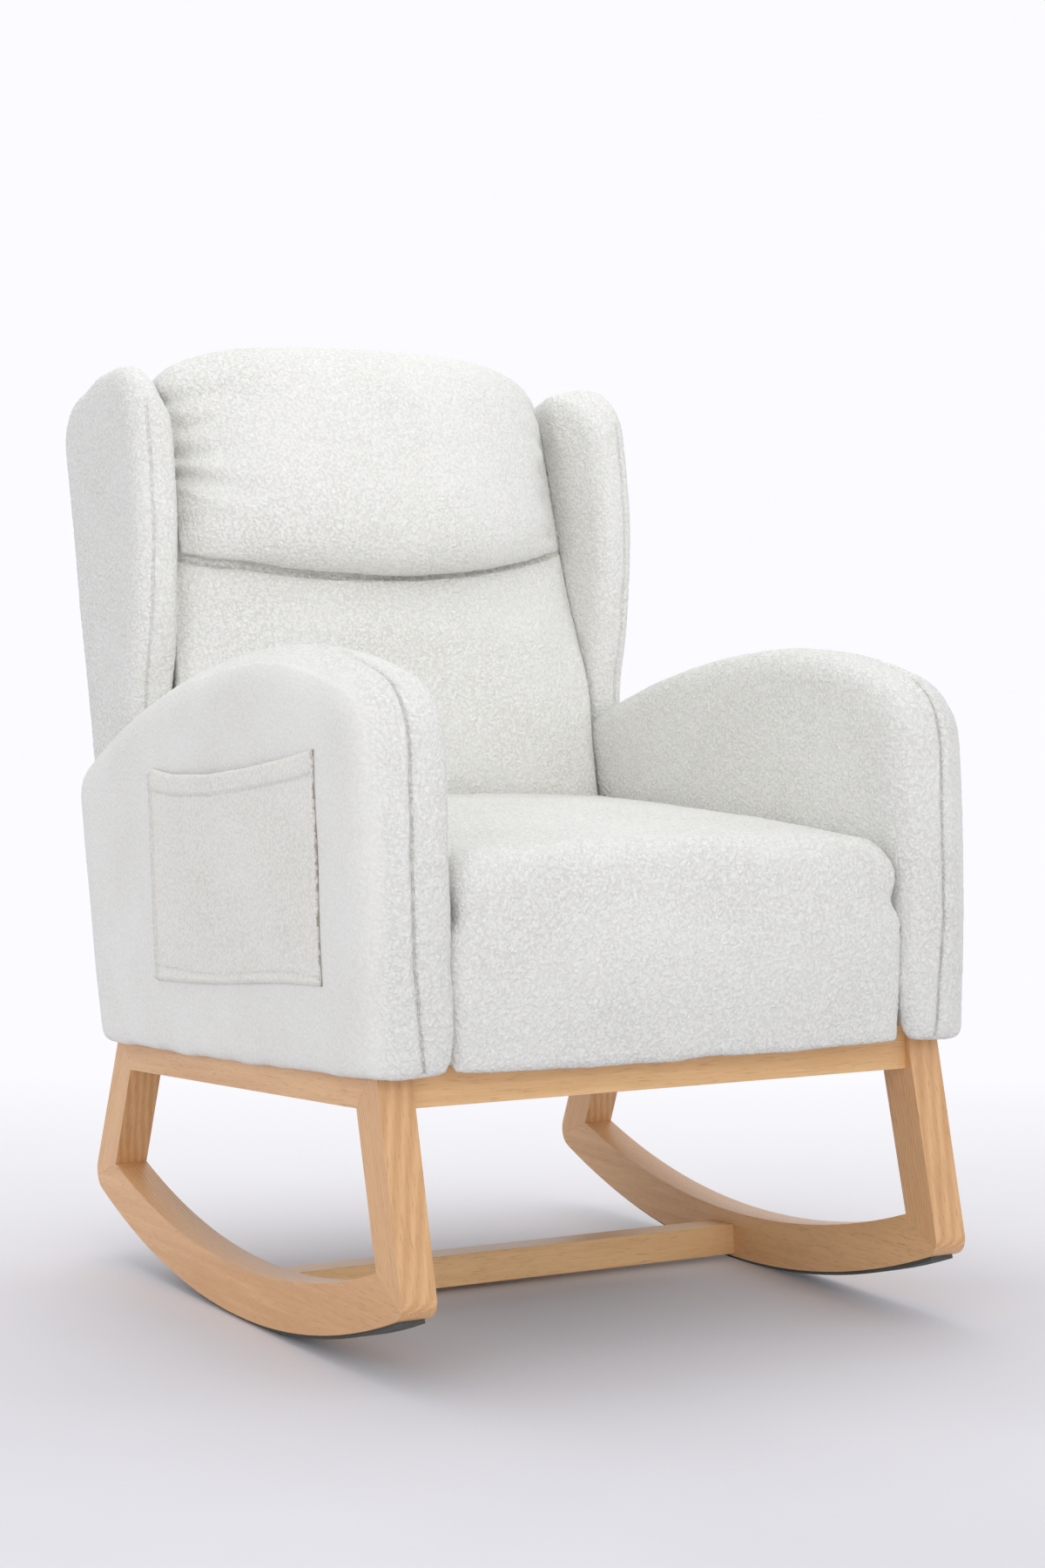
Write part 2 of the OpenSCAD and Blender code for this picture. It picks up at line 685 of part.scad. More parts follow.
module wing_pad_form() {
    difference() {
        wing_form();
        arm_block(gap);
        upright(arm_in + wing_pad_t, wing_out - wing_pad_t) wing_profile(wing_pad_t);
        back_bay(arm_in - 1, arm_in + wing_pad_t + gap);
        stile(gap);
        outside_back_form(gap);
    }
}
wing_frame_t = 12;
wing_frame_w = 30;
module wing_frame_solid() {
    difference() {
        upright(seat_rail_x, seat_rail_x + wing_frame_t) difference() {
            wing_profile(wing_pad_t + gap);
            wing_profile(wing_pad_t + wing_frame_w);
            arm_profile(-gap);
        }
    }
}
module left_wing_frame() { color("#c8ab80") rest() left() wing_frame_solid(); }
module right_wing_frame() { color("#c8ab80") rest() wing_frame_solid(); }
module left_wing_pad() { color("#ece9e3") rest() left() wing_pad_form(); }
module right_wing_pad() { color("#ece9e3") rest() wing_pad_form(); }

// Outside back: a covered board down the rear that turns over the top of the back
back_turn = 46;
function board_path(t) = concat(
    [[rear_at(skirt_z) - t, skirt_z + 4]],
    arc([rear_at(back_top - back_turn) - back_turn, back_top - back_turn], back_turn - t, -rear_recline, 90, 8));
module outside_back_form(grow) {
    upright(-arm_out + arm_outer_r + 4 - grow, arm_out - arm_outer_r - 4 + grow) intersection() {
        board_outline(grow);
        translate([0, -far / 2]) square([far, back_top - 40 + grow + far / 2]);
    }
    upright(-arm_in + gap - grow, arm_in - gap + grow) board_outline(grow);
}
module board_outline(grow) {
    polygon(concat(board_path(-grow), [[back_at(back_top) + back_t - 4, back_top + grow]],
        [[back_at(back_top) + back_t - 4, back_top - board_t - grow]],
        [for (i = [9:-1:0]) board_path(board_t + grow)[i]]));
}
module outside_back() { color("#dedbd5") rest() outside_back_form(0); }

// Places across a cushion of half width w, closer together near its rounded sides
function across(w, side) = concat(
    [for (i = [0:3]) -w + side * (1 - cos(22.5 * i))],
    [for (i = [0:10]) (w - side) * (i / 5 - 1)],
    [for (i = [3:-1:0]) w - side * (1 - cos(22.5 * i))]);
// How far the skin draws in at a place x within the rounded side
function draw_in(x, w, side) = let (t = max(0, abs(x) - (w - side)) / side) side * (1 - sqrt(1 - t * t));

// Seat cushion: top, rounded nose and front drop in one cover
seat_half = arm_in - gap;
seat_side_r = 16;
seat_top_run = 8;
seat_rear_r = 9;
function fullness(x) = 1 - pow(abs(x) / seat_half, 2.4);
function seat_ring(x) = let (
    s = draw_in(x, seat_half, seat_side_r),
    c = seat_crown * fullness(x) + 1,
    nose = [body_front + seat_nose_r + 6 + s, seat_front_z - seat_nose_r - s + c * 0.6],
    rear = [back_at(seat_rear_z) - gap, seat_rear_z - s]) concat(
    [[back_at(deck_z) - gap, deck_z], [back_at(rear[1] - seat_rear_r) - gap, rear[1] - seat_rear_r]],
    [for (i = [0:seat_top_run]) let (
        t = i / seat_top_run,
        y = rear[0] - seat_rear_r - (rear[0] - seat_rear_r - nose[0] - 6) * t)
        [y, rear[1] + (nose[1] + seat_nose_r - rear[1]) * t + c * (0.7 * sin(180 * t) + 0.3 * (1 - t))]],
    arc(nose, seat_nose_r, 82, 183, 7),
    [for (t = [0.35, 0.7, 1]) let (z = nose[1] + (skirt_z - nose[1]) * t)
        [nose[0] - seat_nose_r - c * 0.35 * (1 - t) + 9 * t * t, z]],
    [[seat_front_y - gap, skirt_z], [seat_front_y - gap, deck_z]]);
module seat_cushion() {
    xs = across(seat_half, seat_side_r);
    color("#efece6") rest() skin(xs, [for (x = xs) seat_ring(x)]);
}

// Back cushion: a crowned front above the seat, over a straight rear plane
back_side_r = 18;
back_foot = deck_z;
back_head = back_top - board_t - gap;
back_rows = 14;
function back_face(x, z) = let (t = (z - seat_rear_z) / (back_head - seat_rear_z))
    back_at(z) + draw_in(x, seat_half, back_side_r)
    - (t > 0 && t < 1 ? (back_crown * fullness(x) + 1) * pow(sin(180 * t), 0.55) : 0);
function back_ring(x) = let (z1 = back_head - draw_in(x, seat_half, back_side_r)) concat(
    [[back_at(back_foot) + back_t, back_foot], [back_at(z1) + back_t, z1]],
    [for (i = [0:back_rows]) let (z = z1 - 7 + (seat_rear_z - z1 + 7) * i / back_rows) [back_face(x, z), z]],
    [[back_at(back_foot) + draw_in(x, seat_half, back_side_r), back_foot]]);
// Dish behind the crown, between the rounded sides, open towards the webbing
function back_dish_ring(x) = let (
    z0 = back_foot + back_wall, z1 = back_head - back_side_r - back_wall, d = back_t + 1) concat(
    [[back_at(z0) + d, z0], [back_at(z1) + d, z1]],
    [for (i = [0:back_rows]) let (z = z1 + (z0 - z1) * i / back_rows) [back_face(x, z) + back_wall, z]]);
module back_cushion() {
    xs = across(seat_half, back_side_r);
    dish_xs = [for (i = [-5:5]) (seat_half - back_side_r) * i / 5];
    color("#efece6") rest() difference() {
        skin(xs, [for (x = xs) back_ring(x)]);
        skin(dish_xs, [for (x = dish_xs) back_dish_ring(x)]);
    }
}

// Head pillow: a full, rounded front that leans on the back and turns over its top
pillow_mid_z = back_top + pillow_rise - pillow_h / 2;
pillow_mid = [back_at(pillow_mid_z) - pillow_set, pillow_mid_z];
pillow_n = 15;
pillow_rows = 7;
function pillow_ring(x, w, inset) = let (
    u = min(0.995, abs(x) / w),
    side = 1 - pow(1 - pow(u, 3.4), 0.36),
    mid = pillow_mid + [pillow_set * 0.68 * pow(u, 1.7), 0],
    rise = pillow_h / 2 - inset - min(pillow_rise - 13, pillow_shoulder * side),
    fall = pillow_h / 2 - inset - pillow_smile * pow(u, 1.8),
    depth = (pillow_t / 2 - inset) * pow(1 - pow(u, 2.3), 0.58),
    front = [for (j = [0:pillow_n]) let (
        a = 90 + 172 * j / pillow_n,
        cy = sign(cos(a)) * pow(abs(cos(a)), 0.8) * depth,
        cz = sign(sin(a)) * pow(abs(sin(a)), 0.8) * (sin(a) > 0 ? rise : fall))
        mid + [cy + cz * tan(back_recline), cz]],
    top = front[0],
    shelf = min(back_top + gap + inset, top[1] - 12),
    over = 2 + (pillow_turn - inset) * min(1, (top[1] - shelf - 12) / 10),
    heel = [back_at(min(shelf, back_head)) - 4 - inset, shelf],
    tail = heel + [over, 0]) concat(
    [for (b = [0, 25, 50, 72]) [top[0] + (tail[0] - top[0]) * cos(b), shelf + (top[1] - shelf) * sin(b)]],
    front,
    [for (j = [pillow_rows:-1:1]) let (
        z0 = front[pillow_n][1] + 3, z1 = min(back_head, shelf) - 10, z = z1 + (z0 - z1) * j / pillow_rows)
        [back_face(min(abs(x), seat_half - back_side_r), z) - gap - inset, z]],
    [heel]);
function pillow_across(w) = [for (i = [-9:9]) w * sin(10 * i)];
module pillow_form(inset) {
    w = arm_in - pillow_side - inset;
    skin(pillow_across(w), [for (x = pillow_across(w)) pillow_ring(x, w, inset)]);
}
module head_pillow() {
    color("#f1eee8") rest() difference() {
        pillow_form(0);
        pillow_form(pillow_wall);
    }
}

// Side pocket on the outside of the arm at -X, open at the top
pocket_front = body_front + pocket_y;
slice = 0.01;
pocket_z0 = rail_top + pocket_rise;
module pocket_outline(inset, up) {
    difference() {
        translate([pocket_front + inset, pocket_z0 + inset]) square([pocket_w - 2 * inset, pocket_h - inset + up]);
        if (up == 0) translate([pocket_front + pocket_w / 2, pocket_z0 + pocket_h + mouth_r - pocket_sag])
            circle(mouth_r, $fn = 2 * big_fn);
    }
}
mouth_r = (pow(pocket_w / 2, 2) + pow(pocket_sag, 2)) / (2 * pocket_sag);
module side_pocket() {
    color("#dcd8d0") rest() difference() {
        hull() {
            upright(-arm_out - gap - slice, -arm_out - gap) pocket_outline(0, 0.001);
            upright(-arm_out - gap - pocket_bulge, -arm_out - gap - pocket_bulge + slice) pocket_outline(12, 0.001);
        }
        hull() {
            upright(-arm_out - gap - slice, -arm_out) pocket_outline(pocket_t, 40);
            upright(-arm_out - gap - pocket_bulge + pocket_t, -arm_out - gap - pocket_bulge + pocket_t + slice)
                pocket_outline(12 + pocket_t, 40);
        }
        translate([-arm_out - 50, pocket_front + pocket_w / 2, pocket_z0 + pocket_h + mouth_r - pocket_sag])
            rotate([0, 90, 0]) cylinder(h = 100, r = mouth_r, $fn = 2 * big_fn);
    }
}

left_runner();
right_runner();
left_front_leg();
right_front_leg();
left_rear_leg();
right_rear_leg();
left_side_rail();
right_side_rail();
front_apron();
rear_apron();
stretcher();
corner_blocks();
base_dowels();
left_felt_strip();
right_felt_strip();
body_bolts();
left_arm_frame();
right_arm_frame();
seat_front_rail();
seat_rear_rail();
seat_springs();
spring_clips();
spring_cover();
dust_cover();
back_frame();
back_webbing();
left_wing_frame();
right_wing_frame();
seat_cushion();
back_cushion();
head_pillow();
outside_back();
left_arm_pad();
right_arm_pad();
left_wing_pad();
right_wing_pad();
side_pocket();
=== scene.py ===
import math

import bmesh
import bpy
import numpy as np
from mathutils import Matrix, Vector, noise
from mathutils.bvhtree import BVHTree


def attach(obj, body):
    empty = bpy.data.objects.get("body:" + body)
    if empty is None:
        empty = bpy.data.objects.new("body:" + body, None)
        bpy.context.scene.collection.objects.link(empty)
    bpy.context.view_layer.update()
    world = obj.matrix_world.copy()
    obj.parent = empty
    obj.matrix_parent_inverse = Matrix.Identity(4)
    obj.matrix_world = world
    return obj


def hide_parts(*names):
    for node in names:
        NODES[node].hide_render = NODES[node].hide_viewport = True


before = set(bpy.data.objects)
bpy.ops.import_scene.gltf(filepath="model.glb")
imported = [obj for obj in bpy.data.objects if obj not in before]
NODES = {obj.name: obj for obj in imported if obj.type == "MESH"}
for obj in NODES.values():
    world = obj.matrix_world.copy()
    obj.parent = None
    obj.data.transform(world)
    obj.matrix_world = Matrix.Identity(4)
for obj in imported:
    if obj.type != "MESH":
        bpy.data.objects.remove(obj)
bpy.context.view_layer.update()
MM = 0.001

# Level frame of the chair: y and z from the centre of the rocking curve, rails level, x unchanged
REST_TILT = math.radians(3.5)
CURVE_CENTRE = (-0.0751, 0.990)
ROCKER_R = 986.0


def level(points):
    """Points of the row frame, in metres, as (x, y, z) in mm in the level frame. z is the height over the
    curve's lowest line."""
    y, z = points[:, 1] - CURVE_CENTRE[0], points[:, 2] - CURVE_CENTRE[1]
    c, s = math.cos(REST_TILT), math.sin(REST_TILT)
    return np.stack([points[:, 0], y * c - z * s, y * s + z * c], 1) / MM + (0, 0, ROCKER_R)


def at_rest(points):
    """The way back from level()."""
    x, y, z = ((points - (0, 0, ROCKER_R)) * MM).T
    c, s = math.cos(REST_TILT), math.sin(REST_TILT)
    return np.stack([x, CURVE_CENTRE[0] + y * c + z * s, CURVE_CENTRE[1] + z * c - y * s], 1)


# Mesh helpers
WELD = 2e-5  # metres within which a solid's points are one


def get_points(mesh):
    co = np.empty(len(mesh.vertices) * 3, np.float32)
    mesh.vertices.foreach_get("co", co)
    return co.reshape(-1, 3).astype(float)


def set_points(mesh, points):
    mesh.vertices.foreach_set("co", points.astype(np.float32).ravel())
    mesh.update()


def get_normals(mesh):
    no = np.empty(len(mesh.vertices) * 3, np.float32)
    mesh.vertex_normals.foreach_get("vector", no)
    return no.reshape(-1, 3).astype(float)


def add_object(name, data):
    piece = bpy.data.objects.new(name, data)
    bpy.context.scene.collection.objects.link(piece)
    return piece


def outer_skin(node, convex):
    """The outer surface of a CAD node as a closed bmesh: its convex hull, or its largest shell."""
    bm = bmesh.new()
    bm.from_mesh(NODES[node].data)
    bmesh.ops.remove_doubles(bm, verts=bm.verts, dist=WELD)
    if convex:
        hull = bmesh.ops.convex_hull(bm, input=bm.verts)
        inside = set(hull["geom_interior"] + hull["geom_unused"])
        bmesh.ops.delete(bm, geom=[v for v in inside if isinstance(v, bmesh.types.BMVert)], context="VERTS")
        return bm
    left, shells = set(bm.verts), []
    while left:
        front = [left.pop()]
        shell = set(front)
        while front:
            for edge in front.pop().link_edges:
                for v in edge.verts:
                    if v not in shell:
                        shell.add(v)
                        front.append(v)
        left -= shell
        shells.append(shell)

    def height(shell):
        levels = [v.co.z for v in shell]
        return max(levels) - min(levels)

    keep = max(shells, key=height)
    bmesh.ops.delete(bm, geom=[v for v in bm.verts if v not in keep], context="VERTS")
    return bm


def apply_modifiers(piece):
    """Replaces the piece's mesh by what its modifiers make of it."""
    graph = bpy.context.evaluated_depsgraph_get()
    mesh = bpy.data.meshes.new_from_object(piece.evaluated_get(graph))
    piece.modifiers.clear()
    old, piece.data = piece.data, mesh
    bpy.data.meshes.remove(old)
    return piece


def soften(mesh, rounds):
    """Rounds the mesh off by averaging each point with its neighbours."""
    points = get_points(mesh)
    ends = np.empty(len(mesh.edges) * 2, np.int32)
    mesh.edges.foreach_get("vertices", ends)
    a, b = ends.reshape(-1, 2).T
    count = np.bincount(ends, minlength=len(points))[:, None]
    for _ in range(rounds):
        total = np.zeros_like(points)
        for axis in range(3):
            total[:, axis] = np.bincount(a, points[b, axis], len(points))
            total[:, axis] += np.bincount(b, points[a, axis], len(points))
        points += 0.5 * (total / count - points)
    set_points(mesh, points)


def field(points, scale, seed=0.0, stretch=(1, 1, 1)):
    """Smooth noise from -1 to 1 at points in mm, with features about scale mm wide."""
    q = points * np.array(stretch) / scale + seed * 17.3
    return np.array([noise.noise(p) for p in q.tolist()])


def bell(d, width):
    """1 where d is 0, falling off evenly on both sides."""
    return np.exp(-(d / width) ** 2)


def step(t):
    """0 below 0, 1 above 1 and a smooth slope between."""
    t = np.clip(t, 0, 1)
    return t * t * (3 - 2 * t)


def srgb(*levels):
    """A colour as the eye reads it, from 0 to 255, in the renderer's linear values."""
    shares = [c / 255 for c in levels]
    return tuple(c / 12.92 if c <= 0.04045 else ((c + 0.055) / 1.055) ** 2.4 for c in shares) + (1,)


# Material helpers
class Graph:
    """A material's node tree, with short calls that add and link nodes."""

    def __init__(self, name):
        self.material = bpy.data.materials.new(name)
        self.material.use_nodes = True
        self.tree = self.material.node_tree
        self.shader = self.tree.nodes["Principled BSDF"]
        self.place = self.add("ShaderNodeTexCoord").outputs["Object"]

    def add(self, kind, links=(), **values):
        node = self.tree.nodes.new(kind)
        for key, value in values.items():
            if hasattr(node, key):
                setattr(node, key, value)
            else:
                node.inputs[key.replace("_", " ").title()].default_value = value
        for socket, source in dict(links).items():
            self.tree.links.new(source, node.inputs[socket])
        return node

    def noise(self, place, scale, detail=2.0, roughness=0.5, distortion=0.0):
        node = self.add("ShaderNodeTexNoise", {"Vector": place}, scale=scale, detail=detail,
                        roughness=roughness, distortion=distortion)
        return node.outputs["Fac"]

    def remap(self, value, low, high, to_low=0.0, to_high=1.0):
        node = self.add("ShaderNodeMapRange", {"Value": value})
        ends = {"From Min": low, "From Max": high, "To Min": to_low, "To Max": to_high}
        for socket, number in ends.items():
            node.inputs[socket].default_value = number
        return node.outputs["Result"]

    def math(self, operation, a, b):
        node = self.add("ShaderNodeMath", operation=operation)
        for socket, value in zip(node.inputs, (a, b)):
            if isinstance(value, (int, float)):
                socket.default_value = value
            else:
                self.tree.links.new(value, socket)
        return node.outputs[0]

    def blend(self, factor, a, b):
        node = self.add("ShaderNodeMix", data_type="RGBA")
        self.tree.links.new(factor, node.inputs[0])
        for socket, colour in zip((node.inputs[6], node.inputs[7]), (a, b)):
            if isinstance(colour, tuple):
                socket.default_value = colour
            else:
                self.tree.links.new(colour, socket)
        return node.outputs[2]

    def turned(self, rotation):
        return self.add("ShaderNodeMapping", {"Vector": self.place}, rotation=rotation).outputs[0]

    def stretched(self, place, scale):
        return self.add("ShaderNodeMapping", {"Vector": place}, scale=scale).outputs[0]

    def finish(self, colour, roughness, height=None, depth=0.001, **values):
        self.tree.links.new(colour, self.shader.inputs["Base Color"])
        if isinstance(roughness, (int, float)):
            self.shader.inputs["Roughness"].default_value = roughness
        else:
            self.tree.links.new(roughness, self.shader.inputs["Roughness"])
        for key, value in values.items():
            self.shader.inputs[key.replace("_", " ").title()].default_value = value
        if height is not None:
            bump = self.add("ShaderNodeBump", {"Height": height}, strength=1.0, distance=depth)
            self.tree.links.new(bump.outputs[0], self.shader.inputs["Normal"])
        return self.material


CLOTH_ROUGHNESS = 0.95
# The calm cloth's tone below is a painted shade: flat cloth is darkened in place of the shading of its
# missing tufts
CALM_PAINTED_SHADE = 0.3  # tone of curly cloth where it has no relief


def curly_cloth(name, colour, shade, curl, depth, lines=(), calm=None):
    """Curly boucle: rounded tufts curl mm wide over a finer nap, with relief depth mm deep. Where the relief
    is low between the tufts the colour goes towards shade, a painted shade. Each of lines is a mesh
    attribute, a distance in mm that is zero on a sewn line, and its tint with the tint's strength; the tints
    paint shade into seam and stitch grooves and the crease under the pillow, and give the pocket's raw edge
    its own brown.
    The attribute calm is the share of relief; where it is low, a fixed painted shade stands in for the tufts'
    shading."""
    g = Graph(name)
    warp = g.add("ShaderNodeTexNoise", {"Vector": g.place}, scale=0.45 / (curl * MM), detail=2.0)
    shift = g.add("ShaderNodeVectorMath", {0: warp.outputs["Color"]}, operation="SCALE")
    shift.inputs["Scale"].default_value = 1.6 * curl * MM
    place = g.add("ShaderNodeVectorMath", {0: g.place, 1: shift.outputs[0]}, operation="ADD").outputs[0]
    tufts = g.add("ShaderNodeTexVoronoi", {"Vector": place}, feature="SMOOTH_F1", scale=1 / (curl * MM))
    tufts.inputs["Smoothness"].default_value = 0.6
    round_tops = g.remap(tufts.outputs["Distance"], 0.75, 0.1)
    curls = g.noise(place, 1.7 / (curl * MM), 3.0, 0.6, 1.2)
    height = g.math("ADD", round_tops, g.math("MULTIPLY", curls, 0.7))
    # Low places between the tufts take the shade colour: painted shade in the nap's hollows
    tone = g.remap(height, 0.4, 1.2)
    if calm:
        share = g.add("ShaderNodeAttribute", attribute_name=calm).outputs["Fac"]
        height = g.math("MULTIPLY", height, share)
        # Where the relief is calm, a fixed painted shade stands in for the tufts' shading
        rest = g.math("MULTIPLY", g.math("SUBTRACT", 1.0, share), CALM_PAINTED_SHADE)
        tone = g.math("ADD", g.math("MULTIPLY", tone, share), rest)
    patches = g.noise(g.place, 9.0, 2.0)
    colour = g.blend(g.remap(patches, 0.3, 0.7, 0.0, 0.4), g.blend(tone, shade, colour), colour)
    # Lines: painted shade along seams, stitches and the crease under the pillow, and the raw edge's own
    # brown, broken up by noise and also drawn in as grooves
    for line, tint in lines:
        away = g.add("ShaderNodeAttribute", attribute_name=line).outputs["Fac"]
        ragged = g.remap(g.noise(g.place, 420.0, 2.0), 0.35, 0.65, -0.7, 0.7)
        near = g.remap(g.math("ADD", g.math("ABSOLUTE", away, 0.0), ragged), 0.5, 1.9, 1.0, 0.0)
        broken = g.remap(g.noise(g.place, 170.0, 1.0), 0.4, 0.55, 0.35 * tint[4], tint[4])
        colour = g.blend(g.math("MULTIPLY", near, broken), colour, tint[:4])
        height = g.math("SUBTRACT", height, near)
    return g.finish(colour, CLOTH_ROUGHNESS, height, depth * MM, sheen_weight=0.10, sheen_roughness=0.5)


def plain_cloth(name, colour, shade, grain, depth):
    """Pressed or closely woven cloth with a fine even nap: fibres grain mm apart, depth mm deep."""
    g = Graph(name)
    fibres = g.noise(g.place, 1 / (grain * MM), 4.0, 0.65, 0.5)
    patches = g.noise(g.place, 14.0, 2.0)
    tone = g.math("ADD", g.math("MULTIPLY", fibres, 0.75), g.math("MULTIPLY", patches, 0.25))
    return g.finish(g.blend(g.remap(tone, 0.35, 0.65), shade, colour), CLOTH_ROUGHNESS, fibres, depth * MM)


def wood(name, along, light, dark, seed, shine=0.42):
    """Varnished rubberwood: long figure and short dark pores along the member's own direction."""
    g = Graph(name)
    turn = Vector(along).rotation_difference(Vector((1, 0, 0))).to_euler()
    moved = g.add("ShaderNodeVectorMath", {0: g.turned(turn)}, operation="ADD")
    moved.inputs[1].default_value = (seed * 0.37, seed * 0.11, seed * 0.23)
    place = moved.outputs[0]
    figure = g.noise(g.stretched(place, (0.22, 8.0, 8.0)), 5.0, 3.0, 0.55, 0.5)
    streaks = g.noise(g.stretched(place, (0.035, 1.0, 1.0)), 420.0, 4.0, 0.6)
    pores = g.noise(g.stretched(place, (0.045, 1.0, 1.0)), 1250.0, 2.0, 0.5)
    pits = g.remap(pores, 0.60, 0.70)
    rings = g.add("ShaderNodeTexWave", {"Vector": g.stretched(place, (0.05, 1.0, 1.0))}, bands_direction="Y",
                  scale=80.0, distortion=2.6, detail=3.0, detail_scale=1.4)
    tone = g.math("ADD", g.math("MULTIPLY", figure, 0.34), g.math("MULTIPLY", streaks, 0.42))
    tone = g.math("ADD", tone, g.math("MULTIPLY", rings.outputs["Fac"], 0.24))
    colour = g.blend(g.remap(tone, 0.32, 0.68), dark, light)
    pore_tint = tuple(c * 0.5 for c in dark[:3]) + (1,)
    colour = g.blend(g.math("MULTIPLY", pits, 0.45), colour, pore_tint)
    height = g.math("SUBTRACT", g.math("MULTIPLY", streaks, 0.3), pits)
    rough = g.remap(streaks, 0.3, 0.7, shine - 0.05, shine + 0.08)
    return g.finish(colour, rough, height, 0.00012, coat_weight=0.3, coat_roughness=0.3)


def metal(name, colour, roughness):
    """Drawn or plated metal with fine scratches."""
    g = Graph(name)
    scratches = g.noise(g.stretched(g.place, (1.0, 0.1, 1.0)), 900.0, 3.0)
    tint = g.blend(g.remap(scratches, 0.3, 0.7), tuple(0.8 * c for c in colour[:3]) + (1,), colour)
    return g.finish(tint, g.remap(scratches, 0.3, 0.7, roughness - 0.08, roughness + 0.08), metallic=1.0)


CREAM = srgb(243, 243, 240)
# Colour that the boucle takes in the hollows between its tufts: painted shade
CREAM_SHADE = srgb(221, 220, 214)
# Dark tint of seam and stitch lines: painted shade in their grooves
GROOVE_SHADE = srgb(150, 146, 132)
# Brown: painted shade along the crease under the pillow, and the own colour of the pocket's raw front edge
CREASE_SHADE_AND_RAW_EDGE = srgb(132, 118, 96)
CURL = 3.2  # width of a curl in mm
boucle = curly_cloth("boucle", CREAM, CREAM_SHADE, CURL, depth=1.2)
arm_boucle = curly_cloth("arm_boucle", CREAM, CREAM_SHADE, CURL, depth=1.3,
                         lines=[("seam", GROOVE_SHADE + (0.36,))], calm="calm")
wing_boucle = curly_cloth("wing_boucle", CREAM, CREAM_SHADE, CURL, depth=1.2,
                          lines=[("seam", GROOVE_SHADE + (0.08,))], calm="calm")
back_boucle = curly_cloth("back_boucle", CREAM, CREAM_SHADE, CURL, depth=1.3,
                          lines=[("seam", CREASE_SHADE_AND_RAW_EDGE + (0.42,))])
smooth_boucle = curly_cloth("smooth_boucle", srgb(238, 237, 232), srgb(226, 225, 219), curl=2.4, depth=0.35)
pocket_cloth = curly_cloth("pocket_cloth", srgb(238, 237, 231), srgb(218, 216, 208), curl=3.0, depth=0.5,
                           lines=[("stitch", GROOVE_SHADE + (0.10,)), ("raw", CREASE_SHADE_AND_RAW_EDGE + (0.75,))])
felt = plain_cloth("felt", srgb(104, 108, 105), srgb(66, 70, 68), grain=0.9, depth=0.25)
webbing = plain_cloth("webbing", srgb(120, 104, 84), srgb(86, 72, 56), grain=1.4, depth=0.3)
burlap = plain_cloth("burlap", srgb(196, 168, 128), srgb(150, 122, 88), grain=1.6, depth=0.4)
dust_cloth = plain_cloth("dust_cloth", srgb(70, 70, 72), srgb(52, 52, 55), grain=1.2, depth=0.15)
steel = metal("steel", srgb(176, 178, 182), roughness=0.38)
HONEY = (srgb(232, 185, 133), srgb(210, 158, 106))
# Paler wood for the front apron and stretcher under the seat: painted light that makes up for the shade there
PAINTED_LIGHT_HONEY = (srgb(243, 200, 146), srgb(226, 178, 122))
TIMBER = (srgb(214, 190, 150), srgb(186, 158, 116))


# Wooden base and frame: the CAD solids, each with grain along its own length and slightly eased edges
def grain_direction(node):
    """The node's longest direction."""
    points = get_points(NODES[node].data)
    _, _, axes = np.linalg.svd(points - points.mean(0), full_matrices=False)
    return axes[0]


def ease_edges(piece, width):
    """Rounds the solid's sharp edges off by width mm, without touching its flat faces."""
    weld = piece.modifiers.new("weld", "WELD")
    weld.merge_threshold = WELD
    flat = piece.modifiers.new("flat", "DECIMATE")
    flat.decimate_type = "DISSOLVE"
    flat.angle_limit = math.radians(0.4)
    edge = piece.modifiers.new("edge", "BEVEL")
    edge.width = width * MM
    edge.segments = 2
    edge.limit_method = "ANGLE"
    edge.angle_limit = math.radians(38)


def dress(node, material):
    """Gives a carried-over CAD node its material."""
    piece = NODES[node]
    piece.data.materials.clear()
    piece.data.materials.append(material)
    return piece


SIDE_FRAME = ("runner", "front_leg", "rear_leg", "side_rail")
BASE = [side + part for side in ("left_", "right_") for part in SIDE_FRAME]
BASE += ["front_apron", "rear_apron", "stretcher"]
PAINTED_LIGHT_PARTS = ("front_apron", "stretcher")
# The front apron and stretcher take the paler wood, a painted light under the seat's shade
for seed, name in enumerate(BASE):
    tint = PAINTED_LIGHT_HONEY if name in PAINTED_LIGHT_PARTS else HONEY
    piece = dress(name, wood("honey_" + name, grain_direction(name), *tint, seed))
    ease_edges(piece, width=1.2)
HIDDEN_TIMBER = ["corner_blocks", "base_dowels", "left_arm_frame", "right_arm_frame", "seat_front_rail",
                 "seat_rear_rail", "back_frame", "left_wing_frame", "right_wing_frame"]
for seed, name in enumerate(HIDDEN_TIMBER):
    along = (1, 0, 0) if name == "corner_blocks" else grain_direction(name)
    dress(name, wood("timber_" + name, along, *TIMBER, seed + 20, shine=0.7))
for name, material, slot in (
    ("left_felt_strip", felt, "felt"), ("right_felt_strip", felt, "felt"), ("body_bolts", steel, "steel"),
    ("seat_springs", steel, "steel"), ("spring_clips", steel, "steel"), ("spring_cover", burlap, "burlap"),
    ("back_webbing", webbing, "webbing"), ("dust_cover", dust_cloth, "dust_cloth"),
):
    dress(name, material)


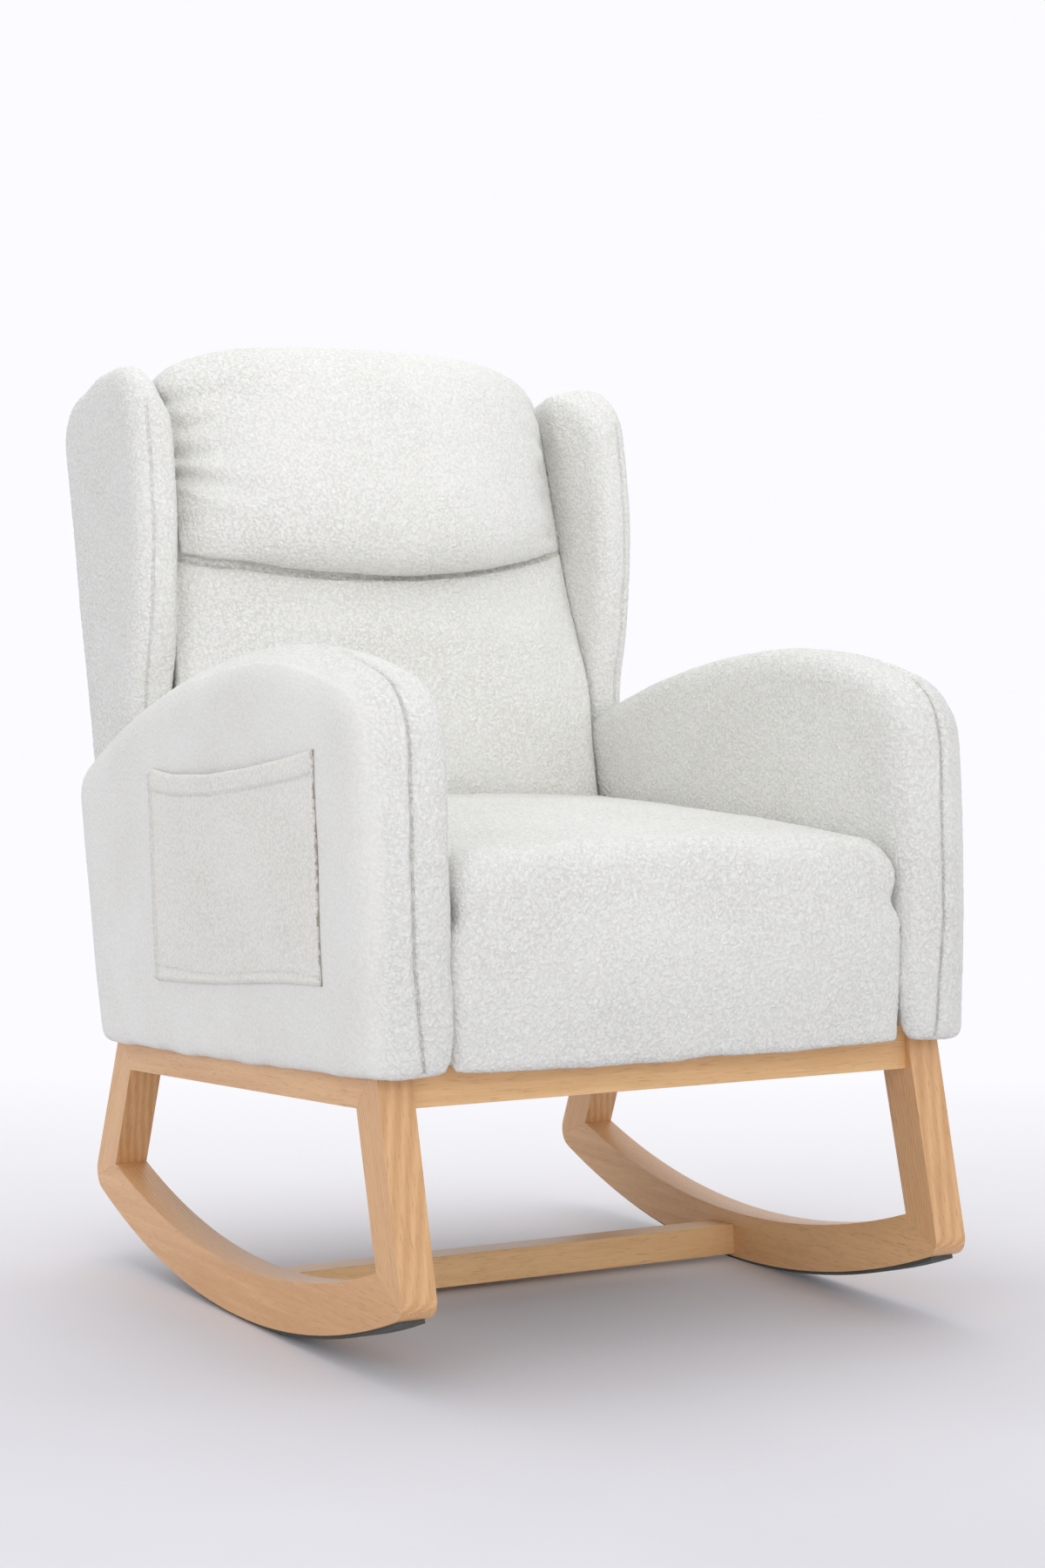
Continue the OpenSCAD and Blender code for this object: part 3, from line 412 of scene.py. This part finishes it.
# Upholstery: each soft form starts from its CAD solid's outer surface and is remeshed, softened and detailed
def even_mesh(name, node, voxel, rounds, convex=False):
    """A closed mesh of even quads, voxel mm wide, over the node's outer form, softened, then refined once."""
    bm = outer_skin(node, convex)
    mesh = bpy.data.meshes.new(name)
    bm.to_mesh(mesh)
    bm.free()
    piece = add_object(name, mesh)
    remesh = piece.modifiers.new("remesh", "REMESH")
    remesh.mode = "VOXEL"
    remesh.voxel_size = voxel * MM
    apply_modifiers(piece)
    soften(piece.data, rounds)
    subdivide = piece.modifiers.new("finer", "SUBSURF")
    subdivide.levels = 1
    subdivide.render_levels = 1
    return apply_modifiers(piece)


def reshape(piece, change):
    """Moves the piece's points to change(points, normals), in mm in the level frame."""
    points = level(get_points(piece.data))
    c, s = math.cos(REST_TILT), math.sin(REST_TILT)
    n = get_normals(piece.data)
    normals = np.stack([n[:, 0], n[:, 1] * c - n[:, 2] * s, n[:, 1] * s + n[:, 2] * c], 1)
    set_points(piece.data, at_rest(change(points, normals)))


def mark(mesh, name, values):
    """Keeps a number for each point on the mesh, for its material."""
    mesh.attributes.new(name, "FLOAT", "POINT").data.foreach_set("value", values.astype(np.float32))


# Beyond |x| = CALM_X, over CALM_BAND mm, the nap loses the share CALM_LOSS of its height
CALM_X, CALM_BAND, CALM_LOSS = 322, 16, 0.6
# Kinds of tufts: width in mm, share of the height, texture
TUFTS = ((4.0, 0.7, "VORONOI"), (9.0, 0.25, "CLOUDS"))


def add_nap(piece, weight):
    """Real tufts: two sizes of bumps along the normals, weight mm high, lower on the flat outer sides."""
    x = np.abs(get_points(piece.data)[:, 0]) / MM
    calm = 1 - CALM_LOSS * step((x - CALM_X) / CALM_BAND)
    mark(piece.data, "calm", calm)
    group = piece.vertex_groups.new(name="nap")
    rounded = np.round(calm, 1)
    for part in np.unique(rounded):
        group.add(np.nonzero(rounded == part)[0].tolist(), float(part), "REPLACE")
    for size, share, kind in TUFTS:
        texture = bpy.data.textures.new("tufts", kind)
        texture.noise_scale = size * MM
        bumps = piece.modifiers.new("tufts", "DISPLACE")
        bumps.texture = texture
        bumps.texture_coords = "LOCAL"
        bumps.strength = weight * share * MM * (-1 if kind == "VORONOI" else 1)
        bumps.mid_level = 0.35
        bumps.vertex_group = group.name
    apply_modifiers(piece)


def finish_cloth(piece, material):
    """Gives the piece its material and smooth shading."""
    piece.data.materials.clear()
    piece.data.materials.append(material)
    for polygon in piece.data.polygons:
        polygon.use_smooth = True


def upholster(piece, node, material, nap, change=None):
    """Shapes the cover by change, gives it a nap and a material, and puts it in the node's place."""
    if change:
        reshape(piece, change)
    add_nap(piece, nap)
    finish_cloth(piece, material)
    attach(piece, "root")
    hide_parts(node)


# Heights and widths that the details follow, in mm in the level frame, as in part.scad
RAIL_TOP = 279.0
RAIL_OUTER = 323.5  # the covers' notch over the side rail ends at this |x|
SKIRT_Z = 267.0  # the upholstery's lower edge
BODY_FRONT = -312.0
ARM_INNER = 255.4  # the arm covers stay outside this |x|
ARM_OUTER = 338.0  # and have their flat outer faces beyond this one
WING_NOSE = (832.0, 838.0)  # y and z of the centre of the wing's front curve
WING_NOSE_R = 554.0
BACK_FOOT = (262.0, 521.0)  # y and z of a point on the front of the back
BACK_LEAN = 0.262
PILLOW_W = 240.0  # half the pillow's width
SEAM_X = 303.0  # |x| of the sewn line round the arms
SEAM_W = 2.8  # width of its groove
FAR_FROM_SEAM = 50.0  # distance marked where there is no line


def seam(piece, x0, depth, seed, fade=0.0):
    """Draws the cover in, depth mm deep, along a sewn line at |x| = x0, with small puckers beside it, and
    marks the line, where the material paints shade into the groove. Low down the line bends inwards. Where
    the cover faces up, it fades by the share fade."""
    def change(points, normals):
        foot = np.clip((390 - points[:, 2]) / 120, 0, 1)
        away = np.abs(points[:, 0]) - x0 + 11 * foot ** 1.3 - 1.3 * field(points, 34, seed, (0, 1, 1))
        band = step((0.85 - np.abs(normals[:, 0])) / 0.3) * (1 - fade * step(normals[:, 2] / 0.7))
        band *= step((0.85 - np.abs(normals[:, 2] * (normals[:, 2] < 0))) / 0.3)
        puckers = field(points, 9, seed + 1, (0.35, 1, 1))
        shift = -depth * (1 + 0.25 * puckers) * bell(away, SEAM_W)
        shift += 0.2 * depth * (bell(away - 7.5, 5) + bell(away + 7.5, 5)) + 0.4 * puckers * bell(away, 14)
        # The marked line gets painted shade in the material
        mark(piece.data, "seam", np.where(band > 0.5, away, FAR_FROM_SEAM))
        return points + normals * (band * shift)[:, None]
    reshape(piece, change)


def soft_hem(points, drop):
    """Lets the lower edge hang drop mm lower and wander a little."""
    low = np.clip((SKIRT_Z + 26 - points[:, 2]) / 26, 0, 1)
    points[:, 2] -= low ** 1.5 * (drop + 2.2 * field(points, 52, 3.0, (1, 1, 0)))
    return points


def arm_shape(seed):
    """Change that makes a full outer face, an upright front, a hanging hem and the notch over the rail."""
    def change(points, normals):
        shift = 1.3 * field(points, 95, seed + 2)
        outer = np.abs(points[:, 0]) > ARM_OUTER
        face = np.clip((points[:, 2] - 270) / 400, 0, 1) * np.clip((390 - points[:, 1]) / 700, 0, 1)
        shift += np.where(outer, 3.0 * np.sin(math.pi * face), 0.0)
        points = points + normals * shift[:, None]
        x, y, z = points.T
        # The front stands nearly upright down to its hem, and closes on the seat's side there
        front = step((-y - 255) / 30)
        y -= 9 * front * np.clip((400 - z) / 133, 0, 1)
        close = 11 * np.clip((362 - z) / 90, 0, 1) * step((292 - np.abs(x)) / 25) * front
        x -= np.sign(x) * close
        x[:] = np.sign(x) * np.maximum(np.abs(x), ARM_INNER)
        points = soft_hem(points, 4.5)
        # Notch that sits over the side rail
        under = (np.abs(x) < RAIL_OUTER) & (y > BODY_FRONT + 24)
        z[:] = np.where(under, np.maximum(z, RAIL_TOP + 0.6), z)
        return points
    return change


def wing_shape(seed, peak, drop):
    """Change that rounds the wing: its top rises by peak mm in the middle and falls by drop mm inside."""
    def change(points, normals):
        points = points + normals * (1.0 * field(points, 80, seed + 2))[:, None]
        x, y, z = points.T
        # Full, round nose on the inner side, flat outer face, and a rounded peak
        nose = WING_NOSE_R - np.hypot(y - WING_NOSE[0], z - WING_NOSE[1])
        inner = step((294 - np.abs(x)) / 34)
        away = (9 + 4 * step((z - 660) / 120)) * step((75 - nose) / 75) * step((z - 585) / 60) * inner
        away -= 4.5 * step((np.abs(x) - 296) / 24)
        x += np.sign(x) * away
        z -= drop * inner * step((z - 930) / 60) * step((395 - y) / 65)
        # The nose's foot runs forward and down onto the arm, so that no timber shows above the arm
        foot = step((668 - z) / 45) * step((30 - nose) / 25)
        y -= 8 * foot
        z -= 6 * foot
        rear = 4.5 * bell(y - 410, 26) * step((np.abs(x) - 280) / 25)
        z += (peak * bell(y - 372, 50) + rear) * step(normals[:, 2] / 0.6)
        return points
    return change


# Creases at the pillow's ends: height, depth, length inwards, slope
LEFT_CREASES = ((974, 4.5, 52, 0.05), (946, 3.0, 42, 0.0), (916, 5.5, 50, -0.05), (889, 6.5, 62, -0.28),
                (840, 3.0, 52, 0.12))
RIGHT_CREASES = ((985, 1.6, 40, 0.10), (942, 2.8, 38, 0.05), (906, 3.6, 30, -0.08), (868, 2.8, 34, -0.12),
                 (824, 5.0, 30, 0.05))


def pillow_shape(points, normals):
    """Creases at both ends, and a lower edge that sits a little askew."""
    x, z = points[:, 0], points[:, 2]
    front = step((0.55 - normals[:, 1]) / 0.6)
    shift = 1.6 * field(points, 70, 8.0)
    for side, creases in ((-1, LEFT_CREASES), (1, RIGHT_CREASES)):
        d = PILLOW_W - side * x
        for height, depth, length, slope in creases:
            line = height + slope * d + 4 * np.sin(d / 23 + height)
            width = 6 + 0.10 * np.clip(d, 0, None)
            deep = front * depth * bell(np.clip(d, 0, None), length)
            shift -= deep * bell(z - line, width)
            shift += 0.35 * deep * (bell(z - line - 2.2 * width, width) + bell(z - line + 2.2 * width, width))
    points = points + normals * shift[:, None]
    # The pillow sits a little to the left, where its lower corner also hangs lower
    points[:, 0] -= 4 + 6 * step((-x - 180) / 55)
    points[:, 0] -= step((x - 175) / 55) * (4 * step((935 - z) / 60) + 7 * bell(z - 890, 42))
    points[:, 2] += lift(x) * step((860 - z) / 60)
    return points


def lift(x):
    """How much higher than evenly bowed the pillow's lower edge is at x."""
    return 4.5 * step((x + 160) / 160) - 7 * step((-x - 160) / 70)


def smile(x):
    """Height of the seam under the pillow."""
    return 772 + 36 * (x / 250) ** 2 + 3.5 * x / 240 + lift(x)


def back_shape(mesh):
    """Change that makes a full back with the sewn line under the pillow, marked on the mesh for painted shade
    in the crease there, and widens its sides to meet arms and wings."""
    def change(points, normals):
        x, z = points[:, 0], points[:, 2]
        front = normals[:, 1] < 0.2
        shift = 1.3 * field(points, 90, 5.0)
        shift -= np.where(front, 2 * bell(z - smile(x), 7), 0)
        points = points + normals * shift[:, None]
        x, y, z = points.T
        # Full below the pillow's seam. The sides fall away towards the wings, and are wider low down and
        # behind the front, so that no timber shows
        y -= 11 * bell(z - 722, 34) * step((236 - np.abs(x)) / 60) * front
        side = step((np.abs(x) - 216) / 38) * front
        y += 3.5 * step((z - 660) / 80) * side
        edge = step((np.abs(x) - 226) / 22)
        low = bell(z - 650, 62) * edge
        depth = y - BACK_FOOT[0] - BACK_LEAN * (z - BACK_FOOT[1])
        behind = step((depth - 6) / 10) * step((z - 590) / 50) * edge
        x += np.sign(x) * (8 * low + (2 + 2.5 * bell(z - 730, 45)) * behind)
        y += np.where(front, -1.5, 16) * low
        # The mark gives the crease under the pillow its painted shade
        mark(mesh, "seam", np.where(front, 0.55 * (z - smile(x) + 2), FAR_FROM_SEAM))
        return points
    return change


def seat_shape(points, normals):
    """A full front panel under a rolled front edge, with a hanging hem."""
    x, y, z = points.T
    shift = 1.5 * field(points, 110, 6.0) + 0.7 * field(points, 38, 7.0)
    side = step((np.abs(x) - 205) / 45)
    forward = step((-y - 240) / 40)
    shift -= 5 * side * forward * bell(z - 408, 13)
    shift += 4 * step((-y - 200) / 80) * bell(z - 350, 60) * (1 - (x / 260) ** 2)
    points = points + normals * shift[:, None]
    x, y, z = points.T
    # Narrower top roll at the front corners, and a front panel that reaches the arms
    roll = step((-y - 180) / 90) * step((z - 400) / 25)
    x -= np.sign(x) * 3.5 * roll * step((np.abs(x) - 190) / 60) * (x < 0)
    z -= 6 * roll * step((np.abs(x) - 218) / 35) * step((z - 440) / 20)
    panel = step((-y - 262) / 20) * step((404 - z) / 20)
    x += np.sign(x) * 4.5 * panel * step((np.abs(x) - 230) / 16)
    return soft_hem(points, 5.5)


def outside_back_shape(points, normals):
    """A taut rear cloth with a shallow line along both edges."""
    rear = normals[:, 1] > 0.6
    shift = 1.2 * field(points, 110, 9.0) + np.where(rear, 1.2, 0)
    shift -= 2.4 * bell(np.abs(points[:, 0]) - 292, 4.5) * rear
    points = points + normals * shift[:, None]
    points[:, 2] = np.maximum(points[:, 2], SKIRT_Z + 3)
    return points


for side, seed in (("left", 1.0), ("right", 2.0)):
    arm = even_mesh(side + "_arm_cover", side + "_arm_pad", voxel=5.2, rounds=8, convex=True)
    reshape(arm, arm_shape(seed))
    seam(arm, SEAM_X, depth=3.6, seed=seed)
    upholster(arm, side + "_arm_pad", arm_boucle, nap=1.7)
    wing = even_mesh(side + "_wing_cover", side + "_wing_pad", voxel=5.0, rounds=6, convex=True)
    reshape(wing, wing_shape(seed + 4, peak=4 * seed, drop=34 - 12 * seed))
    seam(wing, SEAM_X - 2, depth=1.2, seed=seed + 4, fade=0.8)
    upholster(wing, side + "_wing_pad", wing_boucle, nap=1.7)
pillow = even_mesh("head_pillow_cover", "head_pillow", voxel=5.0, rounds=6)
upholster(pillow, "head_pillow", boucle, nap=1.4, change=pillow_shape)
back = even_mesh("back_cover", "back_cushion", voxel=5.4, rounds=5)
upholster(back, "back_cushion", back_boucle, nap=1.8, change=back_shape(back.data))
seat = even_mesh("seat_cover", "seat_cushion", voxel=5.4, rounds=5)
upholster(seat, "seat_cushion", boucle, nap=1.8, change=seat_shape)
rear = even_mesh("outside_back_cover", "outside_back", voxel=6.0, rounds=3, convex=True)
upholster(rear, "outside_back", smooth_boucle, nap=0.8, change=outside_back_shape)


# Side pocket: one sewn patch with a hemmed, sagging mouth, laid over the arm cover's outer face, in mm
POCKET_GRID = (135, 79)  # points along and up
POCKET_LENGTH = 398.0
# y and z of points along the mouth
POCKET_MOUTH = ((-205, -197, -147, -62, 28, 123, 183, 193), (568, 567, 561, 554, 550, 552, 559, 556))
POCKET_T = 2.4  # thickness of the single cloth
POCKET_EDGE_T = 0.7  # thickness at the very rim
POCKET_GAP = 0.5  # from the arm's tufts
POCKET_STANDOFF = 5.0  # how much farther the mouth's middle stands off the arm
MOUTH_HEM, LOW_HEM, SIDE_HEM = 22, 9, 7  # widths of the turned-in hems


def neighbourhood(grid):
    """Nine grids: each point of the grid and its eight neighbours."""
    rows, columns = grid.shape
    pad = np.pad(grid, 1, mode="edge")
    return [pad[i:i + rows, j:j + columns] for i in range(3) for j in range(3)]


def outer_face(cover, y, z):
    """x of the cover's outer face at each y and z of its left side, laid over the tufts and evened out."""
    start = np.stack([np.full(y.size, -500.0), y.ravel(), z.ravel()], 1)
    tree = BVHTree.FromPolygons([tuple(p) for p in get_points(cover.data).tolist()],
                                [tuple(face.vertices) for face in cover.data.polygons])
    hits = [tree.ray_cast(Vector(p), Vector((1, 0, 0)))[0] for p in at_rest(start).tolist()]
    face = np.array([hit.x / MM for hit in hits]).reshape(y.shape)
    for _ in range(2):
        face = np.min(neighbourhood(face), axis=0)
    for _ in range(4):
        face = np.mean(neighbourhood(face), axis=0)
    return face


def closed_patch(name, x_layers, y, z):
    """A closed mesh between an inner and an outer grid of points, with walls round the rim."""
    layers = [np.stack([x.ravel(), y.ravel(), z.ravel()], 1) for x in x_layers]
    index = np.arange(y.size).reshape(y.shape)
    a, b, c, d = index[:-1, :-1], index[:-1, 1:], index[1:, 1:], index[1:, :-1]
    faces = np.stack([a, b, c, d], -1).reshape(-1, 4)
    border = list(index[0, :]) + list(index[1:, -1]) + list(index[-1, -2::-1]) + list(index[-2:0:-1, 0])
    walls = [(p, border[i - 1], border[i - 1] + y.size, p + y.size) for i, p in enumerate(border)]
    walls = [tuple(map(int, wall)) for wall in walls]
    mesh = bpy.data.meshes.new(name)
    mesh.from_pydata(at_rest(np.concatenate(layers)).tolist(), [],
                     faces.tolist() + (faces[:, ::-1] + y.size).tolist() + walls)
    mesh.validate()
    bm = bmesh.new()
    bm.from_mesh(mesh)
    bmesh.ops.recalc_face_normals(bm, faces=bm.faces)
    bm.to_mesh(mesh)
    bm.free()
    return mesh


def side_pocket(cover):
    """Lays the patch on the cover's outer face. u runs rearwards and v up, each from 0 to 1."""
    columns, rows = POCKET_GRID
    u, v = np.meshgrid(np.linspace(0, 1, columns), np.linspace(0, 1, rows))
    y = (-208 + 3 * v) * (1 - u) + (189 + 4 * v) * u + 1.2 * np.sin(9 * v) * (u < 0.001)
    low = 347 - 10 * u + 1.5 * np.sin(7 * u)
    mouth = np.interp(y, *POCKET_MOUTH)
    z = low + (mouth - low) * v
    face = outer_face(cover, y, z)
    # Distances from the mouth, the lower edge and the nearer end, and from the rows of stitches
    down = (1 - v) * (mouth - low)
    up = v * (mouth - low)
    aside = np.minimum(u, 1 - u) * POCKET_LENGTH
    end = np.abs(2 * u - 1)
    mouth_stitch = np.abs(down - 20 - 3 * end)
    low_stitch = np.abs(up - 8 - 5 * u - 1.5 * np.sin(8 * u))
    rear_stitch = np.where(u > 0.5, np.abs(aside - SIDE_HEM), FAR_FROM_SEAM)
    stitch = np.minimum(np.minimum(mouth_stitch, low_stitch), rear_stitch)
    stand = POCKET_STANDOFF * (1 - end ** 2.6) * v ** 1.4
    stand += 0.9 * (1 - end ** 2) * np.sin(math.pi * v)
    thick = POCKET_T + 1.1 * step((MOUTH_HEM - down) / 3) + 0.7 * step((LOW_HEM - up) / 3)
    thick += (0.7 + 0.9 * (u > 0.5)) * step((SIDE_HEM - aside) / 4)
    thick -= 0.6 * bell(stitch, 2.2) + 0.9 * bell(rear_stitch, 2.0)
    rim = np.clip(np.minimum(np.minimum(aside, up), down) / 2.5, 0, 1)
    thick = POCKET_EDGE_T + (thick - POCKET_EDGE_T) * np.sqrt(1 - (1 - rim) ** 2)
    inner = face - POCKET_GAP - stand
    mesh = closed_patch("pocket", (inner, inner - thick), y, z)
    # Stitch lines get painted shade in their grooves; the raw front edge gets its own brown
    mark(mesh, "stitch", np.tile(stitch.ravel(), 2))
    mark(mesh, "raw", np.tile((u * POCKET_LENGTH).ravel(), 2))
    piece = add_object("pocket", mesh)
    add_nap(piece, weight=0.5)
    finish_cloth(piece, pocket_cloth)
    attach(piece, "root")
    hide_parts("side_pocket")


side_pocket(bpy.data.objects["left_arm_cover"])


# Floor, light and camera
FORWARD = (0.498, 0.867, 0.0)  # level direction in which the camera looks
BACKDROP = srgb(252, 251, 255)


def seen_rays(tree):
    """1 for what is seen directly, in a reflection or through something clear, and 0 for what lights."""
    path = tree.nodes.new("ShaderNodeLightPath").outputs
    seen = path["Is Camera Ray"]
    for kind in ("Is Glossy Ray", "Is Transmission Ray"):
        either = tree.nodes.new("ShaderNodeMath")
        either.operation = "MAXIMUM"
        tree.links.new(seen, either.inputs[0])
        tree.links.new(path[kind], either.inputs[1])
        seen = either.outputs[0]
    return seen


def floor_material():
    """Pale floor whose far part fades into the backdrop for what is seen."""
    g = Graph("floor")
    cloud = g.noise(g.place, 1.1, 3.0, 0.55)
    colour = g.blend(g.remap(cloud, 0.3, 0.7), srgb(222, 221, 226), srgb(231, 230, 235))
    g.finish(colour, 0.8)
    ahead = g.add("ShaderNodeVectorMath", {0: g.place}, operation="DOT_PRODUCT")
    ahead.inputs[1].default_value = FORWARD
    around = g.add("ShaderNodeVectorMath", {0: g.place}, operation="LENGTH")
    far = g.math("MAXIMUM", g.remap(ahead.outputs["Value"], -0.05, 1.47),
                 g.remap(around.outputs["Value"], 2.6, 6.0))
    white = g.add("ShaderNodeEmission")
    white.inputs["Color"].default_value = BACKDROP
    share = g.math("MULTIPLY", far, seen_rays(g.tree))
    mix = g.add("ShaderNodeMixShader", {0: share, 1: g.shader.outputs[0], 2: white.outputs[0]})
    g.tree.links.new(mix.outputs[0], g.tree.nodes["Material Output"].inputs["Surface"])
    return g.material


def add_floor():
    """A wide level floor under the chair."""
    mesh = bpy.data.meshes.new("floor")
    bm = bmesh.new()
    bmesh.ops.create_grid(bm, x_segments=4, y_segments=4, size=14)
    bm.to_mesh(mesh)
    bm.free()
    mesh.materials.append(floor_material())
    add_object("floor", mesh)


def add_world():
    """Even light from all sides, and the backdrop for what is seen."""
    world = bpy.data.worlds.new("studio")
    bpy.context.scene.world = world
    world.use_nodes = True
    tree = world.node_tree
    room = tree.nodes["Background"]
    room.inputs["Color"].default_value = (0.975, 0.978, 1.0, 1)
    room.inputs["Strength"].default_value = 0.87
    backdrop = tree.nodes.new("ShaderNodeBackground")
    backdrop.inputs["Color"].default_value = BACKDROP
    mix = tree.nodes.new("ShaderNodeMixShader")
    for socket, source in zip(mix.inputs, (seen_rays(tree), room.outputs[0], backdrop.outputs[0])):
        tree.links.new(source, socket)
    tree.links.new(mix.outputs[0], tree.nodes["World Output"].inputs["Surface"])


def softbox(name, place, aim, width, height, power, colour=(1, 1, 1), spread=180):
    """A rectangular lamp at place that faces aim, in metres and watts."""
    light = bpy.data.lights.new(name, "AREA")
    light.shape = "RECTANGLE"
    light.size = width
    light.size_y = height
    light.energy = power
    light.color = colour
    light.spread = math.radians(spread)
    lamp = add_object(name, light)
    lamp.location = place
    lamp.rotation_euler = (Vector(aim) - Vector(place)).to_track_quat("-Z", "Y").to_euler()


CAMERA_PLACE = (-1.5277, -2.7473, 0.6732)
CAMERA_YAW, CAMERA_PITCH, CAMERA_ROLL = (math.radians(a) for a in (29.891, -2.525, 0.333))


def add_camera():
    """Camera at the place, direction and focal length worked out from the photograph."""
    data = bpy.data.cameras.new("camera")
    data.lens = 66.7
    data.sensor_width = 36
    camera = add_object("camera", data)
    level_share = math.cos(CAMERA_PITCH)
    forward = Vector((math.sin(CAMERA_YAW) * level_share, math.cos(CAMERA_YAW) * level_share,
                      math.sin(CAMERA_PITCH)))
    across = forward.cross(Vector((0, 0, 1))).normalized()
    upward = across.cross(forward)
    right = across * math.cos(CAMERA_ROLL) + upward * math.sin(CAMERA_ROLL)
    up = upward * math.cos(CAMERA_ROLL) - across * math.sin(CAMERA_ROLL)
    turn = Matrix((right, up, -forward)).transposed().to_4x4()
    camera.matrix_world = Matrix.Translation(CAMERA_PLACE) @ turn
    bpy.context.scene.camera = camera


add_floor()
add_world()
softbox("front", (-0.2, -2.7, 1.6), (0, 0.25, 0.80), width=0.8, height=0.6, power=0.95,
        colour=(1.0, 0.99, 0.97), spread=34)
softbox("top", (0.1, 0.9, 3.0), (0, 0, 0.4), width=2.4, height=2.0, power=20)
softbox("fill", (-2.6, -2.0, 1.5), (0, 0, 0.6), width=2.0, height=1.8, power=9)
softbox("low", (-0.2, -2.8, 0.45), (0, 0, 0.3), width=1.6, height=0.6, power=3)
add_camera()
bpy.context.scene.view_settings.view_transform = "Standard"

bpy.context.view_layer.update()
